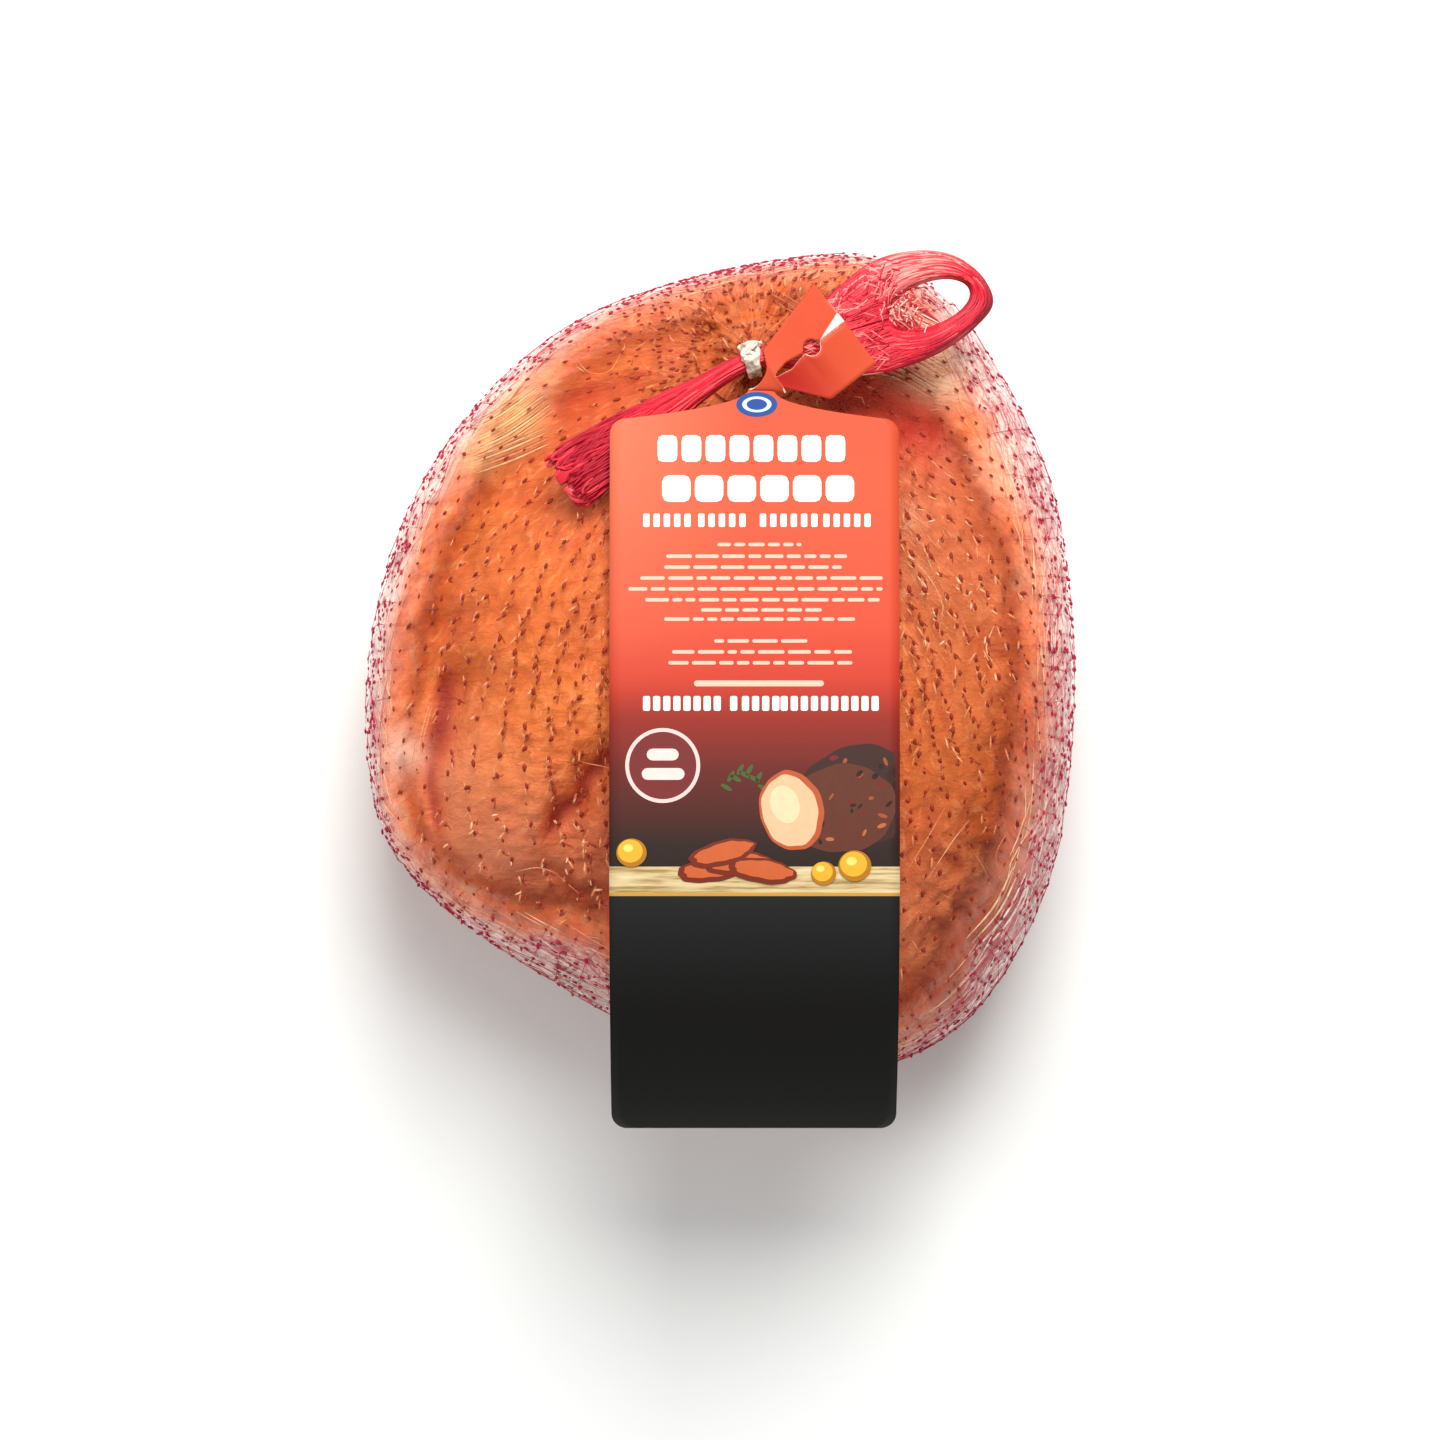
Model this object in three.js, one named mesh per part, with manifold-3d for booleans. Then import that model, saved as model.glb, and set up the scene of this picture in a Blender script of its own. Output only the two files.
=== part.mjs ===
// A boneless gammon joint in a clear film bag and a knotted net. The net is drawn together in a metal clip,
// with its cut end as a tail, a carry loop, and a card tag that is slipped over the loop.
// Millimetres, +Z up. The pack lies on a table: the origin is on the table under the middle of the joint,
// +Y runs towards the clipped end, and the tag lies on top.
import * as THREE from 'three';
import { mergeVertices } from 'three/addons/utils/BufferGeometryUtils.js';
import Module from 'manifold-3d';

const wasm = await Module();
wasm.setup();

// The joint in its film and net
const joint = {
  widest: 45, // height of the widest line
  sway: 4, // how far that line rises and falls on its way round
  crown: 59, // rise of the top above it
  crownTilt: 0.05, // extra rise for each millimetre away from the clip
  underside: 48, // depth below the widest line, before the table flattens it
  topRound: 2.2, // power of the superellipse over the top, where 2 is round
  underRound: 2.55, // the same below, where the sides tuck in
  slices: 78,
  rings: 34,
};
const jointOutline = [
  [88, 5], [82, 45], [70, 71], [57, 90], [40, 101], [15, 100], [-9, 95], [-36, 85], [-59, 66], [-79, 35],
  [-88, -8], [-83, -45], [-67, -63], [-40, -81], [-10, -97], [20, -104], [46, -100], [62, -90], [76, -70],
  [85, -44],
];
// Muscles that stand up under the film: middle, rise and reach
const swells = [
  { at: [-38, 18], rise: 3, reach: 30 },
  { at: [8, 90], rise: 5, reach: 22 },
  { at: [62, -12], rise: 2.5, reach: 30 },
  { at: [-30, -62], rise: -3, reach: 18 },
  { at: [-78, -10], rise: -4, reach: 14 },
];
// Folds and hollows between them: a bent line, its depth and its half width
const folds = [
  { from: [-40, 57], via: [-20, 60], to: [2, 70], depth: 6, width: 7 },
  { from: [20, 68], via: [40, 66], to: [60, 52], depth: 9, width: 9 },
  { from: [-64, -4], via: [-67, -14], to: [-71, -36], depth: 6, width: 4.5 },
  { from: [-26, -22], via: [-35, -34], to: [-42, -50], depth: 6, width: 4.5 },
  { from: [-44, -53], via: [-36, -58], to: [-27, -65], depth: 3, width: 4.5 },
  { from: [-46, 56], via: [-45, 40], to: [-28, 35], depth: 2.5, width: 5 },
  { from: [55, 8], via: [62, 5], to: [69, 0], depth: 1.8, width: 4 },
];

// The net's neck, where it is drawn up out of the joint
const neck = { foot: [8, 75, 80], head: [8, 71.5, 94.9], footRadius: 15, headRadius: 2.6, pleats: 10 };

// The clip: a flat aluminium wire crimped to an oval ring round the drawn net
const clip = { middle: [7.6, 71.2, 98.8], long: 8.6, high: 6.8, band: 4.2, wire: 1.2, lean: 12, gap: 1.4 };

// The cut end of the net
const tail = {
  path: [[11, 72.3, 98.8], [7.6, 71.2, 98.8], [2, 68.5, 98.4], [-10, 61, 96.8], [-22, 53, 96.4], [-38, 41, 97.4]],
  halfWidth: [2.2, 8.2],
  halfDepth: [2, 1.9],
  pleats: 6,
  ragged: 1.3,
};

// The carry loop, a flat ring of gathered net that starts at the clip
const loop = {
  outline: [
    [66, 86], [62.5, 93], [55, 97.5], [45, 97.8], [36, 95], [28.5, 89], [19.5, 80], [13.2, 75],
    [12, 72.5], [14, 70], [26.5, 67.5], [37.5, 68], [47, 70.8], [54.5, 74.5], [61.5, 79.8],
  ],
  eye: [50.5, 85.2],
  eyeLong: 10.6,
  eyeWide: 5.2,
  eyeTurn: 22,
  halfDepth: 2.3,
  rootHeight: 97.2,
  tipDrop: 12,
};

// The card tag: a long panel, a shoulder, a neck and a square head with a round hole and a slit
const tag = {
  card: 0.5,
  width: 69,
  middle: 8.2,
  low: -114,
  high: 57,
  corner: 3.8,
  crestAt: -46,
  crest: 108.4,
  curl: 96, // radius of the bend beyond the crest
  shoulder: 7, // rise of the shoulder between the panel and the neck
  shoulderDrop: 8.4, // fall of the panel from its crest to the shoulder
  neckHalf: 3.2,
  headTurn: 52, // degrees between the panel and the head
  headEnd: [29.7, 79.9, 101.8],
  headLong: 21,
  headHalf: 12.5,
  hole: 4.2,
  slit: 0.7,
};

const at = (list) => new THREE.Vector3(...list);
const smooth = THREE.MathUtils.smoothstep;

// The outline as distances from the middle, one for each of many equal angles
const outlineCurve = new THREE.CatmullRomCurve3(jointOutline.map(([x, y]) => new THREE.Vector3(x, y, 0)), true);
const outlinePoints = outlineCurve.getPoints(720);

function edgeDistance(angle) {
  const away = (point) => Math.abs(Math.atan2(
    Math.sin(Math.atan2(point.y, point.x) - angle),
    Math.cos(Math.atan2(point.y, point.x) - angle),
  ));
  const nearest = outlinePoints.reduce((best, point) => (away(point) < away(best) ? point : best));
  return Math.hypot(nearest.x, nearest.y);
}

const foldLines = folds.map(({ from, via, to, depth, width }) => {
  const middle = new THREE.Vector2(...via).multiplyScalar(2);
  const control = middle.sub(new THREE.Vector2(...from).add(new THREE.Vector2(...to)).multiplyScalar(0.5));
  const curve = new THREE.QuadraticBezierCurve(new THREE.Vector2(...from), control, new THREE.Vector2(...to));
  return { points: curve.getPoints(16), depth, width };
});

function relief(x, y) {
  const here = new THREE.Vector2(x, y);
  let height = 0;
  for (const { at: [cx, cy], rise, reach } of swells) {
    height += rise * Math.exp(-((x - cx) ** 2 + (y - cy) ** 2) / reach ** 2);
  }
  for (const { points, depth, width } of foldLines) {
    const distance = Math.min(...points.map((point) => point.distanceTo(here)));
    height -= depth * Math.exp(-((distance / width) ** 2));
  }
  return height;
}

function jointPoint(angle, fall) {
  // fall runs from 0 at the top to 1 underneath
  const round = fall < 0.5 ? joint.topRound : joint.underRound;
  const lift = Math.cos(fall * Math.PI);
  const out = Math.abs(Math.sin(fall * Math.PI)) ** (2 / round) * edgeDistance(angle);
  const rise = Math.sign(lift) * Math.abs(lift) ** (2 / round);
  const x = out * Math.cos(angle);
  const y = out * Math.sin(angle);
  const top = joint.crown - joint.crownTilt * y + relief(x, y) * smooth(rise, 0, 0.6);
  const sway = joint.sway * Math.sin(2 * angle + 0.7) * (1 - Math.abs(rise));
  const z = joint.widest + sway + rise * (rise > 0 ? top : joint.underside);
  return new THREE.Vector3(x, y, Math.max(z, 0));
}

function volumeOf(points, faces) {
  let volume = 0;
  for (let corner = 0; corner < faces.length; corner += 3) {
    const [a, b, c] = faces.slice(corner, corner + 3).map((index) => points[index]);
    volume += new THREE.Vector3().crossVectors(a, b).dot(c) / 6;
  }
  return volume;
}

// A closed skin over rows of points, each row a closed ring, with the ends drawn to a point or shut flat
function skin(rows, { closedAlong = false } = {}) {
  const around = rows[0].length;
  const points = rows.flat();
  const faces = [];
  const spans = closedAlong ? rows.length : rows.length - 1;
  for (let row = 0; row < spans; row += 1) {
    const next = (row + 1) % rows.length;
    for (let step = 0; step < around; step += 1) {
      const beside = (step + 1) % around;
      const [a, b] = [row * around + step, row * around + beside];
      const [c, d] = [next * around + step, next * around + beside];
      faces.push(a, c, b, b, c, d);
    }
  }
  if (!closedAlong) {
    for (const [row, turn] of [[0, 1], [rows.length - 1, -1]]) {
      const middle = rows[row].reduce((sum, point) => sum.add(point), new THREE.Vector3());
      points.push(middle.divideScalar(around));
      for (let step = 0; step < around; step += 1) {
        const [a, b] = [row * around + step, row * around + ((step + 1) % around)];
        faces.push(points.length - 1, ...(turn > 0 ? [a, b] : [b, a]));
      }
    }
  }
  const geometry = new THREE.BufferGeometry();
  geometry.setAttribute('position', new THREE.Float32BufferAttribute(points.flatMap((p) => p.toArray()), 3));
  geometry.setIndex(volumeOf(points, faces) < 0 ? faces.reverse() : faces);
  return geometry;
}

function solid(geometry) {
  const bare = geometry.clone();
  bare.deleteAttribute('normal');
  bare.deleteAttribute('uv');
  const merged = mergeVertices(bare, 1e-4);
  return new wasm.Manifold(new wasm.Mesh({
    numProp: 3,
    vertProperties: Float32Array.from(merged.attributes.position.array),
    triVerts: Uint32Array.from(merged.index.array),
  }));
}

function geometryOf(manifold) {
  const { vertProperties, triVerts } = manifold.getMesh();
  const geometry = new THREE.BufferGeometry();
  geometry.setAttribute('position', new THREE.Float32BufferAttribute(vertProperties, 3));
  geometry.setIndex(Array.from(triVerts));
  return geometry;
}

const model = new THREE.Group();

function addPiece(name, geometry, look) {
  geometry.computeVertexNormals();
  const mesh = new THREE.Mesh(geometry, new THREE.MeshStandardMaterial(look));
  mesh.name = name;
  model.add(mesh);
  return mesh;
}

// The joint, with the net's neck standing out of the hollow under the clip
function wrappedJoint() {
  const rows = [];
  for (let ring = 1; ring < joint.rings; ring += 1) {
    const row = [];
    for (let slice = 0; slice < joint.slices; slice += 1) {
      row.push(jointPoint((slice / joint.slices) * Math.PI * 2, ring / joint.rings));
    }
    rows.push(row);
  }
  return skin(rows);
}

function netNeck() {
  const foot = at(neck.foot);
  const axis = at(neck.head).sub(foot);
  const rows = [];
  const rings = 7;
  const around = neck.pleats * 4;
  for (let ring = 0; ring <= rings; ring += 1) {
    const share = ring / rings;
    const radius = neck.headRadius + (neck.footRadius - neck.headRadius) * (1 - share) ** 2.6;
    const row = [];
    for (let step = 0; step < around; step += 1) {
      const turn = (step / around) * Math.PI * 2;
      const pleated = radius * (1 + 0.09 * Math.cos(turn * neck.pleats));
      row.push(new THREE.Vector3(pleated * Math.cos(turn), pleated * Math.sin(turn), 0)
        .add(foot).addScaledVector(axis, share));
    }
    rows.push(row);
  }
  return skin(rows);
}

addPiece('wrapped_joint', geometryOf(solid(wrappedJoint()).add(solid(netNeck()))), {
  color: 0xdf7a44, roughness: 0.35, metalness: 0,
});

// A bundle of gathered net along a path: an oval with pleats, given its half width and half depth
function bundle(path, steps, halfWidth, halfDepth, pleats, ragged) {
  const curve = new THREE.CatmullRomCurve3(path.map(at));
  const up = new THREE.Vector3(0, 0, 1);
  const rows = [];
  const around = pleats * 4;
  for (let step = 0; step <= steps; step += 1) {
    const share = step / steps;
    const middle = curve.getPointAt(share);
    const along = curve.getTangentAt(share);
    const side = new THREE.Vector3().crossVectors(along, up).normalize();
    const over = new THREE.Vector3().crossVectors(side, along).normalize();
    const spread = smooth(share, 0.12, 1);
    const wide = THREE.MathUtils.lerp(halfWidth[0], halfWidth[1], spread);
    const deep = THREE.MathUtils.lerp(halfDepth[0], halfDepth[1], spread);
    const row = [];
    for (let tick = 0; tick < around; tick += 1) {
      const turn = (tick / around) * Math.PI * 2;
      const pleated = 1 + 0.1 * spread * Math.cos(turn * pleats);
      const torn = step === steps ? ragged * Math.cos(turn * 3) : 0;
      row.push(middle.clone()
        .addScaledVector(side, wide * pleated * Math.cos(turn))
        .addScaledVector(over, deep * pleated * Math.sin(turn))
        .addScaledVector(along, torn));
    }
    rows.push(row);
  }
  return skin(rows);
}

const netRed = { color: 0xe0284c, roughness: 0.55, metalness: 0 };
addPiece('net_tail', bundle(tail.path, 18, tail.halfWidth, tail.halfDepth, tail.pleats, tail.ragged), netRed);

// The carry loop: a flattened ring between its outline and its eye
function carryLoop() {
  const outer = new THREE.CatmullRomCurve3(loop.outline.map(([x, y]) => new THREE.Vector3(x, y, 0)), true);
  const turn = THREE.MathUtils.degToRad(loop.eyeTurn);
  const steps = 60;
  const around = 12;
  const rows = [];
  for (let step = 0; step < steps; step += 1) {
    const rim = outer.getPointAt(step / steps);
    const angle = Math.atan2(rim.y - loop.eye[1], rim.x - loop.eye[0]);
    const [long, wide] = [Math.cos(angle - turn) / loop.eyeLong, Math.sin(angle - turn) / loop.eyeWide];
    const reach = 1 / Math.hypot(long, wide);
    const inner = new THREE.Vector3(
      loop.eye[0] + reach * Math.cos(angle),
      loop.eye[1] + reach * Math.sin(angle),
      0,
    );
    const row = [];
    for (let tick = 0; tick < around; tick += 1) {
      const [across, up] = [Math.cos((tick / around) * Math.PI * 2), Math.sin((tick / around) * Math.PI * 2)];
      const share = 0.5 + 0.5 * Math.sign(across) * Math.abs(across) ** 0.8;
      const point = inner.clone().lerp(rim, share);
      const fromRoot = Math.max(0, (point.x - 12) / 54);
      const middle = loop.rootHeight - loop.tipDrop * fromRoot ** 1.6;
      row.push(point.setZ(middle + loop.halfDepth * Math.sign(up) * Math.abs(up) ** 0.7));
    }
    rows.push(row);
  }
  return skin(rows, { closedAlong: true });
}

addPiece('net_loop', carryLoop(), netRed);

// The clip, bent from flat wire, with its two ends side by side underneath
function crimpedClip() {
  const bend = new THREE.CurvePath();
  const [halfLong, halfHigh] = [(clip.long - clip.wire) / 2, (clip.high - clip.wire) / 2];
  const start = -Math.PI / 2 + clip.gap / halfLong / 2;
  const oval = new THREE.EllipseCurve(0, 0, halfLong, halfHigh, start, start + Math.PI * 2 - clip.gap / halfLong);
  bend.add(new THREE.CatmullRomCurve3(oval.getPoints(28).map(({ x, y }) => new THREE.Vector3(0, x, y))));
  const [w, h] = [clip.wire / 2, clip.band / 2];
  const section = new THREE.Shape([
    [-h, -w / 2], [-h + w, -w], [h - w, -w], [h, -w / 2], [h, w / 2], [h - w, w], [-h + w, w], [-h, w / 2],
  ].map(([x, y]) => new THREE.Vector2(x, y)));
  const ring = new THREE.ExtrudeGeometry(section, { steps: 36, extrudePath: bend.curves[0], bevelEnabled: false });
  ring.rotateZ(THREE.MathUtils.degToRad(clip.lean));
  ring.translate(...clip.middle);
  return geometryOf(solid(ring));
}

addPiece('clip', crimpedClip(), { color: 0xe6e1d6, roughness: 0.35, metalness: 0.9 });

// The tag as one bent strip of card: each row has a middle, a turn, and a reach to its left and right
function panelHeight(y) {
  if (y < tag.crestAt) {
    return tag.crest - tag.curl + Math.sqrt(tag.curl ** 2 - (tag.crestAt - y) ** 2);
  }
  const share = (y - tag.crestAt) / (tag.high + tag.shoulder - tag.crestAt);
  return tag.crest - tag.shoulderDrop * share ** 1.6;
}

function panelRow(y) {
  const half = tag.width / 2;
  const intoCorner = Math.max(0, tag.low + tag.corner - y, y - tag.high + tag.corner);
  const cut = tag.corner - Math.sqrt(Math.max(0, tag.corner ** 2 - intoCorner ** 2));
  return { middle: new THREE.Vector3(tag.middle, y, panelHeight(y)), turn: 0, reach: half - cut };
}

function shoulderRow(share) {
  const y = tag.high + share * tag.shoulder;
  const x = tag.middle + share * 1.8;
  const reach = tag.neckHalf + (tag.width / 2 - tag.corner - tag.neckHalf) * (1 - share) ** 2.2;
  return { middle: new THREE.Vector3(x, y, panelHeight(y)), turn: 0, reach };
}

const headTurn = THREE.MathUtils.degToRad(tag.headTurn);
const headWay = new THREE.Vector3(Math.sin(headTurn), Math.cos(headTurn), 0);

function neckRow(share) {
  const start = shoulderRow(1).middle;
  const end = at(tag.headEnd).addScaledVector(headWay, -tag.headLong);
  const bow = at([1.2, -0.9, 0]).multiplyScalar(Math.sin(share * Math.PI));
  return { middle: start.lerp(end, share).add(bow), turn: headTurn * smooth(share, 0, 1), reach: tag.neckHalf };
}

function headRow(share) {
  const middle = at(tag.headEnd).addScaledVector(headWay, -tag.headLong * (1 - share));
  const opening = Math.sin(Math.min(1, share / 0.32) * Math.PI / 2) ** 0.8;
  const reach = tag.neckHalf + (tag.headHalf - tag.neckHalf) * opening;
  return { middle, turn: headTurn, reach: reach - 0.6 * (1 - share) };
}

function cardTag() {
  const rows = [];
  const cornerSteps = 4;
  for (let step = 0; step < cornerSteps; step += 1) {
    rows.push(panelRow(tag.low + tag.corner * (1 - Math.cos(((step + 0.35) / cornerSteps) * Math.PI / 2))));
  }
  const panelSteps = 26;
  const [from, to] = [tag.low + tag.corner, tag.high - tag.corner];
  for (let step = 0; step <= panelSteps; step += 1) {
    rows.push(panelRow(from + ((to - from) * step) / panelSteps));
  }
  for (let step = 1; step < cornerSteps; step += 1) {
    rows.push(panelRow(to + tag.corner * Math.sin((step / cornerSteps) * Math.PI / 2)));
  }
  for (let step = 0; step <= 6; step += 1) {
    rows.push(shoulderRow(step / 6));
  }
  for (let step = 1; step < 5; step += 1) {
    rows.push(neckRow(step / 5));
  }
  for (let step = 0; step <= 10; step += 1) {
    rows.push(headRow(step / 10));
  }
  const across = 6;
  const rings = rows.map(({ middle, turn, reach }) => {
    const side = new THREE.Vector3(Math.cos(turn), -Math.sin(turn), 0);
    const under = [];
    const over = [];
    for (let step = 0; step <= across; step += 1) {
      const point = middle.clone().addScaledVector(side, reach * ((2 * step) / across - 1));
      over.push(point.clone().setZ(point.z + tag.card / 2));
      under.unshift(point.clone().setZ(point.z - tag.card / 2));
    }
    return [...over, ...under];
  });
  return skin(rings);
}

function tagWithHole() {
  const holeMiddle = at(tag.headEnd).addScaledVector(headWay, -tag.headLong * 0.47);
  const hole = new THREE.CylinderGeometry(tag.hole / 2, tag.hole / 2, 8, 20).rotateX(Math.PI / 2);
  hole.translate(...holeMiddle);
  const slit = new THREE.BoxGeometry(tag.slit, tag.headLong * 0.78, 8);
  slit.rotateZ(-headTurn).translate(...holeMiddle);
  return geometryOf(solid(cardTag()).subtract(solid(hole)).subtract(solid(slit)));
}

addPiece('tag', tagWithHole(), { color: 0xf2603f, roughness: 0.4, metalness: 0 });

export default model;
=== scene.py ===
import cmath
import math
import random
from contextlib import contextmanager

import bmesh
import bpy
import numpy as np
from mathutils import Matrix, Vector, noise
from mathutils.bvhtree import BVHTree
from mathutils.kdtree import KDTree


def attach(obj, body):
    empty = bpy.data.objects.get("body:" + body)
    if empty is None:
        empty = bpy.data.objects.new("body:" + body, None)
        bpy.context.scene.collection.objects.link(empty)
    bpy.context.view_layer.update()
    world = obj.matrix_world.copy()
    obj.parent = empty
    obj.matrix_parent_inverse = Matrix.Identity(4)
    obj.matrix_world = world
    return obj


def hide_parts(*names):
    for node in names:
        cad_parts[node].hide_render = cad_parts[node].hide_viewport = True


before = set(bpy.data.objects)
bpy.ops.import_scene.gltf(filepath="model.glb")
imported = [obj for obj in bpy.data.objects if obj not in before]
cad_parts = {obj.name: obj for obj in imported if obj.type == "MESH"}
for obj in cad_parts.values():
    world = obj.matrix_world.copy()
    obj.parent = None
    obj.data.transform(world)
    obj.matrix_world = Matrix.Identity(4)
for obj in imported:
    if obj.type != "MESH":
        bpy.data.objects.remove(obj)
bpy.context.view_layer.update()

scene = bpy.context.scene
MM = 0.001

# The gammon joint
# One boned and rolled piece of cured pork, smoked to an orange brown. It sits a little inside the form
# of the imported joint, with its own muscle folds pressed in by the film and the net.
heart = Vector((0, 0, 45 * MM))
neck_foot = Vector((8 * MM, 75 * MM, 80 * MM))
neck_reach = 16 * MM
hollow_from = 60 * MM
ball_radius = 160 * MM


def deselect_all():
    if bpy.context.object and bpy.context.object.mode != "OBJECT":
        bpy.ops.object.mode_set(mode="OBJECT")
    bpy.ops.object.select_all(action="DESELECT")


def pick(piece):
    deselect_all()
    piece.select_set(True)
    bpy.context.view_layer.objects.active = piece


def apply_all(piece):
    pick(piece)
    for modifier in list(piece.modifiers):
        bpy.ops.object.modifier_apply(modifier=modifier.name)


def points_of(piece):
    flat = np.zeros(len(piece.data.vertices) * 3)
    piece.data.vertices.foreach_get("co", flat)
    return flat.reshape(-1, 3)


def set_points(piece, points):
    piece.data.vertices.foreach_set("co", np.asarray(points, float).ravel())
    piece.data.update()


def set_field(piece, name, values):
    """Gives each point of a piece a value that its material can read"""
    piece.data.attributes.new(name, "FLOAT", "POINT").data.foreach_set("value", values)


@contextmanager
def editing(piece):
    """Edit mode on one piece, with all of its mesh selected"""
    pick(piece)
    bpy.ops.object.mode_set(mode="EDIT")
    bpy.ops.mesh.select_all(action="SELECT")
    yield
    bpy.ops.object.mode_set(mode="OBJECT")


def joint_form():
    """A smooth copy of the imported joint, with the drawn neck of the net levelled off"""
    pick(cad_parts["wrapped_joint"])
    bpy.ops.object.duplicate()
    form = bpy.context.object
    form.name = "joint_form"
    with editing(form):
        bpy.ops.mesh.remove_doubles(threshold=0.01 * MM)
        bpy.ops.mesh.tris_convert_to_quads()
    points = points_of(form)
    away = np.hypot(points[:, 0] - neck_foot.x, points[:, 1] - neck_foot.y)
    high = points[:, 2] > hollow_from
    rim = high & (away > neck_reach) & (away < neck_reach + 8 * MM)
    plane = np.c_[points[rim, :2], np.ones(rim.sum())]
    slope = np.linalg.lstsq(plane, points[rim, 2], rcond=None)[0]
    level = points[:, 0] * slope[0] + points[:, 1] * slope[1] + slope[2]
    inside = high & (away < neck_reach)
    points[inside, 2] = np.minimum(points[inside, 2], level[inside] - 1.5 * MM)
    set_points(form, points)
    smoother = form.modifiers.new("smooth", "SUBSURF")
    smoother.levels = smoother.render_levels = 2
    apply_all(form)
    return form


def wrapped_ball(name, form, level):
    """A cube divided, rounded to a ball and drawn in from all sides onto the joint's form"""
    deselect_all()
    bpy.ops.mesh.primitive_cube_add(size=2 * ball_radius, location=heart)
    ball = bpy.context.object
    ball.name = name
    divide = ball.modifiers.new("divide", "SUBSURF")
    divide.subdivision_type = "SIMPLE"
    divide.levels = divide.render_levels = level
    rounding = ball.modifiers.new("round", "CAST")
    rounding.factor = 1
    rounding.use_radius_as_size = False
    rounding.size = ball_radius
    apply_all(ball)
    bpy.ops.object.transform_apply(location=True)
    drawing = ball.modifiers.new("draw_in", "SHRINKWRAP")
    drawing.target = form
    drawing.wrap_method = "PROJECT"
    drawing.use_negative_direction = True
    drawing.use_positive_direction = False
    drawing.cull_face = "OFF"
    apply_all(ball)
    with editing(ball):
        bpy.ops.mesh.vertices_smooth(factor=0.5, repeat=4)
    bpy.ops.object.shade_smooth()
    return ball


def near_line(points, line):
    """How far points lie from a bent line in plan, in millimetres, on which side, and how far along it"""
    plan = points[:, :2] / MM
    best = np.full(len(plan), 1e9)
    side = np.zeros(len(plan))
    along = np.zeros(len(plan))
    for step, (a, b) in enumerate(zip(line[:-1], line[1:])):
        run = b - a
        share = np.clip(((plan - a) @ run) / (run @ run), 0, 1)
        offset = plan - (a + share[:, None] * run)
        distance = np.hypot(offset[:, 0], offset[:, 1])
        closer = distance < best
        best[closer] = distance[closer]
        side[closer] = np.sign(run[0] * offset[closer, 1] - run[1] * offset[closer, 0])
        along[closer] = (step + share[closer]) / (len(line) - 1)
    return best, side, along


def cloud(points, scale, seed, octaves=3):
    """Smooth noise from about -1 to 1 at points in metres, with lumps of the given size in millimetres"""
    shift = Vector((seed * 7.3, seed * 3.1, seed * 5.7))
    places = [Vector(point) * (1 / (scale * MM)) + shift for point in points]
    lumps = [noise.fractal(place, 0.9, 2.0, octaves, noise_basis="PERLIN_ORIGINAL") for place in places]
    return np.array(lumps)


def rim_of(piece):
    """How far a piece reaches from the origin in plan, at each whole degree"""
    edge = points_of(piece)
    turn = np.degrees(np.arctan2(edge[:, 1], edge[:, 0])) % 360
    rim = np.zeros(361)
    np.maximum.at(rim, turn.astype(int), np.hypot(edge[:, 0], edge[:, 1]))
    rim[360] = rim[0]
    return rim


def rim_towards(turn, rim):
    """How far a rim lies from the origin, by the way towards it in degrees"""
    return np.interp(turn, np.arange(361) + 0.5, rim)


def past_rim(points, rim):
    """How far points lie outside a rim in plan, in millimetres"""
    turn = np.degrees(np.arctan2(points[..., 1], points[..., 0])) % 360
    return (np.hypot(points[..., 0], points[..., 1]) - rim_towards(turn, rim)) / MM


def blots(points, patches):
    """Soft round patches in plan: each a place and its reach in millimetres, and its strength"""
    plan = points[:, :2] / MM
    fades = [
        strength * np.exp(-(((plan[:, 0] - x) ** 2 + (plan[:, 1] - y) ** 2) / reach**2))
        for x, y, reach, strength in patches
    ]
    return sum(fades)


def eased(share):
    """A share from 0 to 1 that starts and ends softly"""
    return share**2 * (3 - 2 * share)


def curve_through(points, steps, between=24, closed=False):
    """Evenly spaced points in millimetres on a smooth curve through the given ones"""
    points = [np.array(p, float) for p in points]
    if closed:
        guides = [points[-1]] + points + points[:2]
    else:
        guides = [2 * points[0] - points[1]] + points + [2 * points[-1] - points[-2]]
    fine = []
    for a, b, c, d in zip(guides, guides[1:], guides[2:], guides[3:]):
        t = np.linspace(0, 1, between, endpoint=False)[:, None]
        spline = 2 * b + (c - a) * t + (2 * a - 5 * b + 4 * c - d) * t**2 + (3 * b - 3 * c + d - a) * t**3
        fine.append(spline / 2)
    fine = np.concatenate(fine + [[guides[-2]]])
    reach = np.concatenate([[0], np.cumsum(np.linalg.norm(np.diff(fine, axis=0), axis=1))])
    even = np.linspace(0, reach[-1], steps)
    return np.stack([np.interp(even, reach, fine[:, axis]) for axis in range(fine.shape[1])], -1)


form = joint_form()
meat = wrapped_ball("gammon_meat", form, 7)

# How far the meat lies inside the net, by the side that it faces: degrees from +X, and millimetres
slack_sides = [
    (0, 8.0), (14, 8.0), (26, 10.5), (38, 13.0), (50, 11.0), (60, 7.0), (72, 4.5), (90, 4.0), (120, 5.0),
    (145, 6.5), (165, 5.5), (180, 6.0), (192, 4.5), (205, 2.8), (222, 3.0), (232, 8.0), (245, 14.0),
    (262, 13.0), (280, 8.0), (294, 3.5), (302, 8.0), (312, 12.0), (325, 10.5), (345, 8.5), (360, 8.0),
]
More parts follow.
